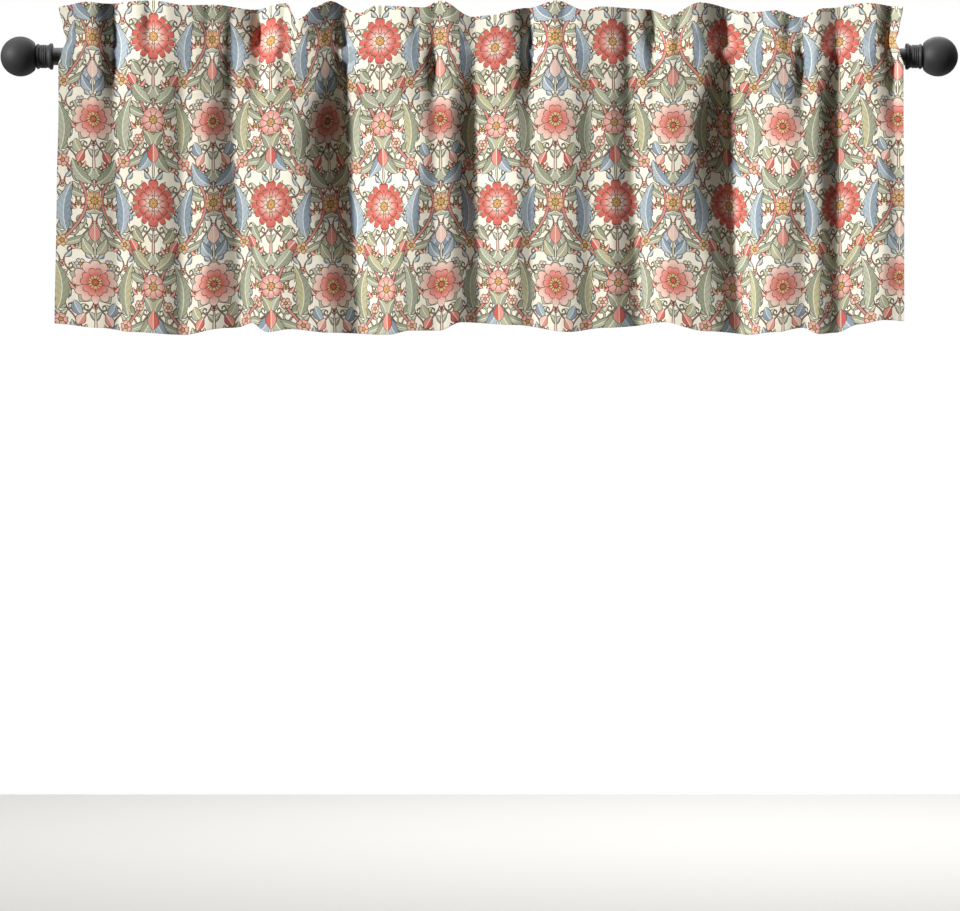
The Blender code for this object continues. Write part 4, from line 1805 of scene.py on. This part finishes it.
@dataclass
class Stitches:
    """Rows of lockstitch in beige thread, laid along the seam and hem lines."""

    length: float = 2.2 * MM
    gap: float = 0.8 * MM
    thread_radius: float = 0.13 * MM
    arch: float = 0.2 * MM
    sunk_share: float = 0.6  # of the thread's radius, how deep a stitch's ends lie in the cloth
    line_steps: int = 4
    round_steps: int = 6
    least_scale: tuple[float, float, float] = (0.9, 0.9, 0.85)
    most_scale: tuple[float, float, float] = (1.06, 1.1, 1.15)
    seed: int = 5

    def routes(self, lines: Sequence[tuple[np.ndarray, np.ndarray]]) -> bpy.types.Object:
        """The stitch lines as one mesh of edges that know which way they face.

        Args:
            lines: Points of each line, and the way its stitches face at each.

        Returns:
            The object that the stitches are laid on.
        """
        points = np.concatenate([line for line, _ in lines])
        facing = np.concatenate([way for _, way in lines])
        edges: list[tuple[int, int]] = []
        first = 0
        for line, _ in lines:
            edges += [(first + i, first + i + 1) for i in range(len(line) - 1)]
            first += len(line)
        mesh = bpy.data.meshes.new("valance_stitches")
        mesh.from_pydata(points.tolist(), edges, [])
        attribute = mesh.attributes.new("facing", "FLOAT_VECTOR", "POINT")
        attribute.data.foreach_set("vector", facing.astype(np.float32).ravel())
        return add_piece("valance_stitches", mesh, [])

    def tree(self, thread: bpy.types.Material) -> tuple[bpy.types.NodeTree, dict[str, str]]:
        """Geometry nodes that lay arched stitches along every route.

        Args:
            thread: Material of the stitches.

        Returns:
            The tree, and the identifier of each of its inputs by name.
        """
        tree = bpy.data.node_groups.new("Lay stitches", "GeometryNodeTree")
        face = tree.interface
        face.new_socket("Geometry", in_out="INPUT", socket_type="NodeSocketGeometry")
        for label in ("Stitch Length", "Gap", "Thread Radius", "Arch"):
            face.new_socket(label, in_out="INPUT", socket_type="NodeSocketFloat")
        face.new_socket("Seed", in_out="INPUT", socket_type="NodeSocketInt")
        face.new_socket("Geometry", in_out="OUTPUT", socket_type="NodeSocketGeometry")
        known = {s.name: s.identifier for s in face.items_tree if s.in_out == "INPUT"}
        graph = Graph(tree)
        entry = graph.node("NodeGroupInput")
        given = {s.name: Wire(graph, s) for s in entry.outputs if s.name}

        pitch = given["Stitch Length"] + given["Gap"]
        curve = graph.out(graph.node("GeometryNodeMeshToCurve", {"Mesh": given["Geometry"]}), "Curve")
        spaced = graph.node("GeometryNodeResampleCurve", {"Curve": curve, "Length": pitch}, mode="LENGTH")
        tangent = graph.out(graph.node("GeometryNodeInputTangent"), "Tangent")
        facing = graph.node("GeometryNodeInputNamedAttribute", {"Name": "facing"}, data_type="FLOAT_VECTOR")
        along = graph.node(
            "FunctionNodeAlignRotationToVector", {"Vector": tangent}, axis="X", pivot_axis="AUTO"
        )
        upright = graph.node(
            "FunctionNodeAlignRotationToVector",
            {"Rotation": graph.out(along, "Rotation"), "Vector": graph.out(facing, "Attribute")},
            axis="Z",
            pivot_axis="X",
        )
        half = given["Stitch Length"] * 0.5
        sunk = given["Thread Radius"] * -self.sunk_share
        thread_line = graph.node(
            "GeometryNodeCurveQuadraticBezier",
            {
                "Resolution": self.line_steps,
                "Start": graph.join(half * -1.0, 0.0, sunk),
                "Middle": graph.join(0.0, 0.0, given["Arch"]),
                "End": graph.join(half, 0.0, sunk),
            },
        )
        round_thread = graph.node(
            "GeometryNodeCurvePrimitiveCircle",
            {"Resolution": self.round_steps, "Radius": given["Thread Radius"]},
        )
        stitch = graph.node(
            "GeometryNodeCurveToMesh",
            {
                "Curve": graph.out(thread_line, "Curve"),
                "Profile Curve": graph.out(round_thread, "Curve"),
                "Fill Caps": True,
            },
        )
        uneven = graph.node(
            "FunctionNodeRandomValue",
            {"Min": self.least_scale, "Max": self.most_scale, "Seed": given["Seed"]},
            data_type="FLOAT_VECTOR",
        )
        placed = graph.node(
            "GeometryNodeInstanceOnPoints",
            {
                "Points": graph.out(spaced, "Curve"),
                "Instance": graph.out(stitch, "Mesh"),
                "Rotation": graph.out(upright, "Rotation"),
                "Scale": graph.out(uneven, "Value"),
            },
        )
        real = graph.node("GeometryNodeRealizeInstances", {"Geometry": graph.out(placed, "Instances")})
        dressed = graph.node(
            "GeometryNodeSetMaterial", {"Geometry": graph.out(real, "Geometry"), "Material": thread}
        )
        leave = graph.node("NodeGroupOutput")
        tree.links.new(graph.out(dressed, "Geometry").socket, leave.inputs[0])
        return tree, known

    def build(self, lines: Sequence[tuple[np.ndarray, np.ndarray]]) -> bpy.types.Object:
        """Lay the stitches and make them a plain mesh.

        Args:
            lines: Points of each line, and the way its stitches face at each.

        Returns:
            The piece of stitches.
        """
        piece = self.routes(lines)
        tree, known = self.tree(SewingThread().material())
        modifier = piece.modifiers.new("Lay stitches", "NODES")
        modifier.node_group = tree
        sizes = {
            "Stitch Length": self.length,
            "Gap": self.gap,
            "Thread Radius": self.thread_radius,
            "Arch": self.arch,
            "Seed": self.seed,
        }
        for label, value in sizes.items():
            modifier[known[label]] = value
        evaluated = piece.evaluated_get(bpy.context.evaluated_depsgraph_get())
        mesh = bpy.data.meshes.new_from_object(evaluated)
        piece.modifiers.clear()
        piece.data = mesh
        mesh.shade_smooth()
        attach(piece, "root")
        LOG.info("stitches have %d faces", len(mesh.polygons))
        return piece


# Rod and finials

TURNED_SHARP = 35.0  # degrees over which an edge of a turned piece stays sharp
MERGE = 0.005 * MM


def turned_mesh(name: str, profile: Sequence[tuple[float, float]], side: Side, steps: int) -> bpy.types.Mesh:
    """Turn an outline round the rod's axis.

    Args:
        name: Name of the mesh.
        profile: Points of distance along X and radius.
        side: The end of the rod, towards which the distances count.
        steps: Faces round the axis.

    Returns:
        The closed, smooth mesh.
    """
    built = bmesh.new()
    verts = [built.verts.new((side.value * along, 0, radius)) for along, radius in profile]
    edges = [built.edges.new(pair) for pair in zip(verts, verts[1:])]
    if profile[0][1] > 0:
        edges.append(built.edges.new((verts[-1], verts[0])))
    bmesh.ops.spin(
        built, geom=verts + edges, axis=(1, 0, 0), cent=(0, 0, 0), angle=math.tau, steps=steps, use_merge=True
    )
    bmesh.ops.remove_doubles(built, verts=built.verts, dist=MERGE)
    bmesh.ops.recalc_face_normals(built, faces=built.faces)
    return plain_mesh(built, name, TURNED_SHARP)


def arc(
    along: float, radius: float, size: float, start: float, stop: float, steps: int
) -> list[tuple[float, float]]:
    """Points of an arc in an outline.

    Args:
        along: Distance of its middle along X.
        radius: Distance of its middle from the axis.
        size: Its own radius.
        start: Bearing of its first point, in degrees.
        stop: Bearing of its last point, in degrees.
        steps: Stretches between its points.

    Returns:
        Its points, from start to stop.
    """
    points = []
    for i in range(steps + 1):
        turn = math.radians(start + (stop - start) * i / steps)
        points.append((along + size * math.cos(turn), radius + size * math.sin(turn)))
    return points


@dataclass
class RodTube:
    """The straight steel tube that the pocket is threaded on."""

    radius: float = 12.5 * MM
    wall: float = 0.9 * MM
    half_length: float = 627.7 * MM
    edge: float = 0.3 * MM
    steps: int = 96

    def outline(self) -> list[tuple[float, float]]:
        """Section of the tube's wall, with its end edges broken."""
        end, outer, inner = self.half_length, self.radius, self.radius - self.wall
        return [
            (-end, inner),
            (-end, outer - self.edge),
            (-end + self.edge, outer),
            *((end * share, outer) for share in (-0.5, 0.0, 0.5)),
            (end - self.edge, outer),
            (end, outer - self.edge),
            (end, inner),
        ]

    def build(self) -> bpy.types.Object:
        """Make the tube in place of the plain bar."""
        mesh = turned_mesh("rod_tube", self.outline(), Side.RIGHT, self.steps)
        piece = add_piece("rod_tube", mesh, [SatinBlack("rod black").material()])
        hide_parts("rod")
        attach(piece, "root")
        return piece


@dataclass
class Finial:
    """A ringed collar with its ball, on one end of the rod."""

    side: Side
    finish: bpy.types.Material
    collar_face: float = 610.0 * MM
    collar_length: float = 24.0 * MM
    flange_radius: float = 18.9 * MM
    flange_length: float = 4.5 * MM
    flange_rounding: float = 1.3 * MM
    waist_radius: float = 16.1 * MM
    ring_radius: float = 16.9 * MM
    ring_start: float = 9.0 * MM
    ring_pitch: float = 2.9 * MM
    ring_count: int = 3
    bead_radius: float = 18.2 * MM
    bead_length: float = 5.6 * MM
    neck_radius: float = 15.7 * MM
    socket_radius: float = 12.8 * MM
    socket_depth: float = 18.0 * MM
    spigot_radius: float = 5.0 * MM
    spigot_length: float = 4.5 * MM
    gap: float = 0.3 * MM
    ball_radius: float = 28.6 * MM
    ball_centre: float = 22.2 * MM
    neck_flare: float = 0.6 * MM
    neck_length: float = 0.8 * MM
    bead_relief: float = 0.3 * MM  # how far the bead stays under its full swell
    ring_fullness: float = 0.8  # power of the sine that rounds a ring
    bead_fullness: float = 0.75
    arc_steps: int = 6
    cove_steps: int = 6
    ring_steps: int = 10
    bead_steps: int = 12
    ball_steps: int = 44
    steps: int = 96

    @property
    def word(self) -> str:
        """The side, as the nodes' names give it."""
        return self.side.name.lower()

    def collar_outline(self) -> list[tuple[float, float]]:
        """Flange, flare, rings, bead and the rod's socket."""
        start, end = self.collar_face, self.collar_face + self.collar_length
        soft = self.flange_rounding
        rim = self.flange_radius - soft
        outline = arc(start + soft, rim, soft, 180, 90, self.arc_steps)
        outline += arc(start + self.flange_length - soft, rim, soft, 90, 0, self.arc_steps)
        cove = self.ring_start - self.ring_pitch / 2 - self.flange_length
        for i in range(1, self.cove_steps + 1):
            share = i / self.cove_steps
            drop = (rim - self.waist_radius) * math.sin(share * math.pi / 2)
            outline.append((start + self.flange_length + cove * share, rim - drop))
        rise = self.ring_radius - self.waist_radius
        for i in range(self.ring_count * self.ring_steps + 1):
            share = i / self.ring_steps
            height = self.waist_radius + rise * abs(math.sin(math.pi * share)) ** self.ring_fullness
            outline.append((start + self.ring_start + share * self.ring_pitch, height))
        bead = end - self.bead_length
        swell = self.bead_radius - self.neck_radius
        for i in range(1, self.bead_steps + 1):
            share = i / self.bead_steps
            foot = self.waist_radius + (self.neck_radius - self.waist_radius) * share
            lift = (swell - self.bead_relief) * math.sin(math.pi * share) ** self.bead_fullness
            outline.append((bead + self.bead_length * share, foot + lift))
        seat = start + self.socket_depth
        hole = self.spigot_radius + self.gap
        return outline + [(end, hole), (seat, hole), (seat, self.socket_radius), (start, self.socket_radius)]

    def ball_outline(self) -> list[tuple[float, float]]:
        """Spigot, neck and ball, from the spigot's tip to the outer pole."""
        seat = self.collar_face + self.collar_length + self.gap
        centre = seat + self.ball_centre
        tip = seat - self.spigot_length
        outline = [
            (tip, 0.0),
            (tip, self.spigot_radius - self.gap),
            (tip + self.gap, self.spigot_radius),
            (seat, self.spigot_radius),
            (seat, self.neck_radius),
            (seat + self.neck_length, self.neck_radius + self.neck_flare),
        ]
        first = math.acos((2 * self.neck_length - self.ball_centre) / self.ball_radius)
        for i in range(self.ball_steps):
            turn = first * (1 - i / self.ball_steps)
            outline.append((centre + self.ball_radius * math.cos(turn), self.ball_radius * math.sin(turn)))
        return outline + [(centre + self.ball_radius, 0.0)]

    def build(self) -> list[bpy.types.Object]:
        """Make the collar and the ball in place of their plain solids."""
        pieces = []
        for part, outline in (("collar", self.collar_outline()), ("ball", self.ball_outline())):
            name = f"{part}_{self.word}"
            piece = add_piece(name, turned_mesh(name, outline, self.side, self.steps), [self.finish])
            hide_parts(f"finial_{part}_{self.word}")
            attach(piece, "root")
            pieces.append(piece)
        return pieces


# Studio


@dataclass
class Studio:
    """Floor, light and camera. The camera looks level and square at the rod."""

    frame_width: float = 960 * 1.431 * MM  # what the picture spans at the rod
    rod_above_middle: float = 571.0 * MM
    rod_left_of_middle: float = 1.1 * MM
    camera_distance: float = 7.0
    camera_reach: float = 60.0
    sensor: float = 36.0
    floor_level: float = -1.25
    floor_half: float = 1.6
    floor_behind: float = 1.2  # how far the middle of the floor lies behind the cloth
    key_from: tuple[float, float, float] = (-0.84, -0.50, 0.26)
    key_power: float = 5.4
    key_width: float = math.radians(10)
    fill_power: float = 0.018
    gloss_low: float = 0.12  # of the surround in gloss, below the horizon
    gloss_middle: float = 0.55
    gloss_top: float = 3.0  # what the top adds to the middle
    horizon: tuple[float, float] = (-0.02, 0.12)
    zenith: tuple[float, float] = (0.55, 0.95)
    back_from: tuple[float, float, float] = (0.6, 1.8, 1.2)
    back_power: float = 40.0
    back_size: float = 1.6

    def add_camera(self) -> None:
        """Set the camera on the axis of the picture."""
        data = bpy.data.cameras.new("camera")
        data.sensor_width = self.sensor
        data.lens = self.sensor * self.camera_distance / self.frame_width
        data.clip_end = self.camera_reach
        camera = bpy.data.objects.new("camera", data)
        camera.location = (self.rod_left_of_middle, -self.camera_distance, -self.rod_above_middle)
        camera.rotation_euler = (math.radians(90), 0, 0)
        bpy.context.scene.collection.objects.link(camera)
        bpy.context.scene.camera = camera

    def add_light(self, name: str, kind: str, away: Sequence[float], aim: Sequence[float]) -> bpy.types.Light:
        """Add a light that looks from one point to another.

        Args:
            name: Its name.
            kind: Blender's name for the type of light.
            away: Where it stands.
            aim: Where it looks.

        Returns:
            The light, for its strength and size.
        """
        data = bpy.data.lights.new(name, kind)
        lamp = bpy.data.objects.new(name, data)
        lamp.location = away
        lamp.visible_camera = False
        lamp.rotation_euler = (Vector(aim) - Vector(away)).to_track_quat("-Z", "Y").to_euler()
        bpy.context.scene.collection.objects.link(lamp)
        return data

    def add_lights(self) -> None:
        """Key light from the left, a light over the floor, and a surround that is brighter above in gloss."""
        key = self.add_light("key", "SUN", self.key_from, (0, 0, 0))
        key.energy = self.key_power
        key.angle = self.key_width
        below = (self.back_from[0], self.back_from[1], self.floor_level)
        back = self.add_light("back", "AREA", self.back_from, below)
        back.energy = self.back_power
        back.size = self.back_size
        world = bpy.data.worlds.new("surround")
        bpy.context.scene.world = world
        world.use_nodes = True
        graph = Graph(world.node_tree)
        shader = world.node_tree.nodes["Background"]
        path = graph.node("ShaderNodeLightPath")
        _, _, height = graph.split(graph.out(graph.node("ShaderNodeTexCoord"), "Generated"))
        upper = graph.rise(height, *self.horizon) * (self.gloss_middle - self.gloss_low)
        gloss = upper + graph.rise(height, *self.zenith) * self.gloss_top + self.gloss_low
        seen = graph.out(path, "Is Camera Ray") * (1 - self.fill_power) + self.fill_power
        strength = seen + graph.out(path, "Is Glossy Ray") * gloss
        graph.tree.links.new(strength.socket, shader.inputs["Strength"])
        shader.inputs["Color"].default_value = (1, 1, 1, 1)

    def add_floor(self) -> None:
        """A pale floor below the hanging cloth."""
        built = bmesh.new()
        bmesh.ops.create_grid(built, x_segments=8, y_segments=8, size=self.floor_half)
        bmesh.ops.translate(built, verts=built.verts, vec=(0, self.floor_behind, self.floor_level))
        floor = add_piece("studio_floor", plain_mesh(built, "studio_floor"), [PaleFloor().material()])

    def build(self) -> None:
        """Set up the studio."""
        bpy.context.scene.view_settings.view_transform = "Standard"
        self.add_camera()
        self.add_lights()
        self.add_floor()


def main() -> None:
    """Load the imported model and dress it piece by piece."""
    logging.basicConfig(level=logging.INFO, format="%(name)s: %(message)s")
    for old in list(bpy.data.objects):
        bpy.data.objects.remove(old, do_unlink=True)
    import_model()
    Studio().build()
    valance = Valance()
    cloth = valance.build()
    LOG.info("built %s", cloth.name)
    stitches = Stitches().build(valance.stitch_lines())
    rod = RodTube().build()
    LOG.info("built %s", rod.name)
    finish = SatinBlack("finial black", roughness=0.6, specular=0.35).material()
    for side in Side:
        for piece in Finial(side, finish).build():
            LOG.info("built %s", piece.name)


if __name__ == "__main__":
    main()
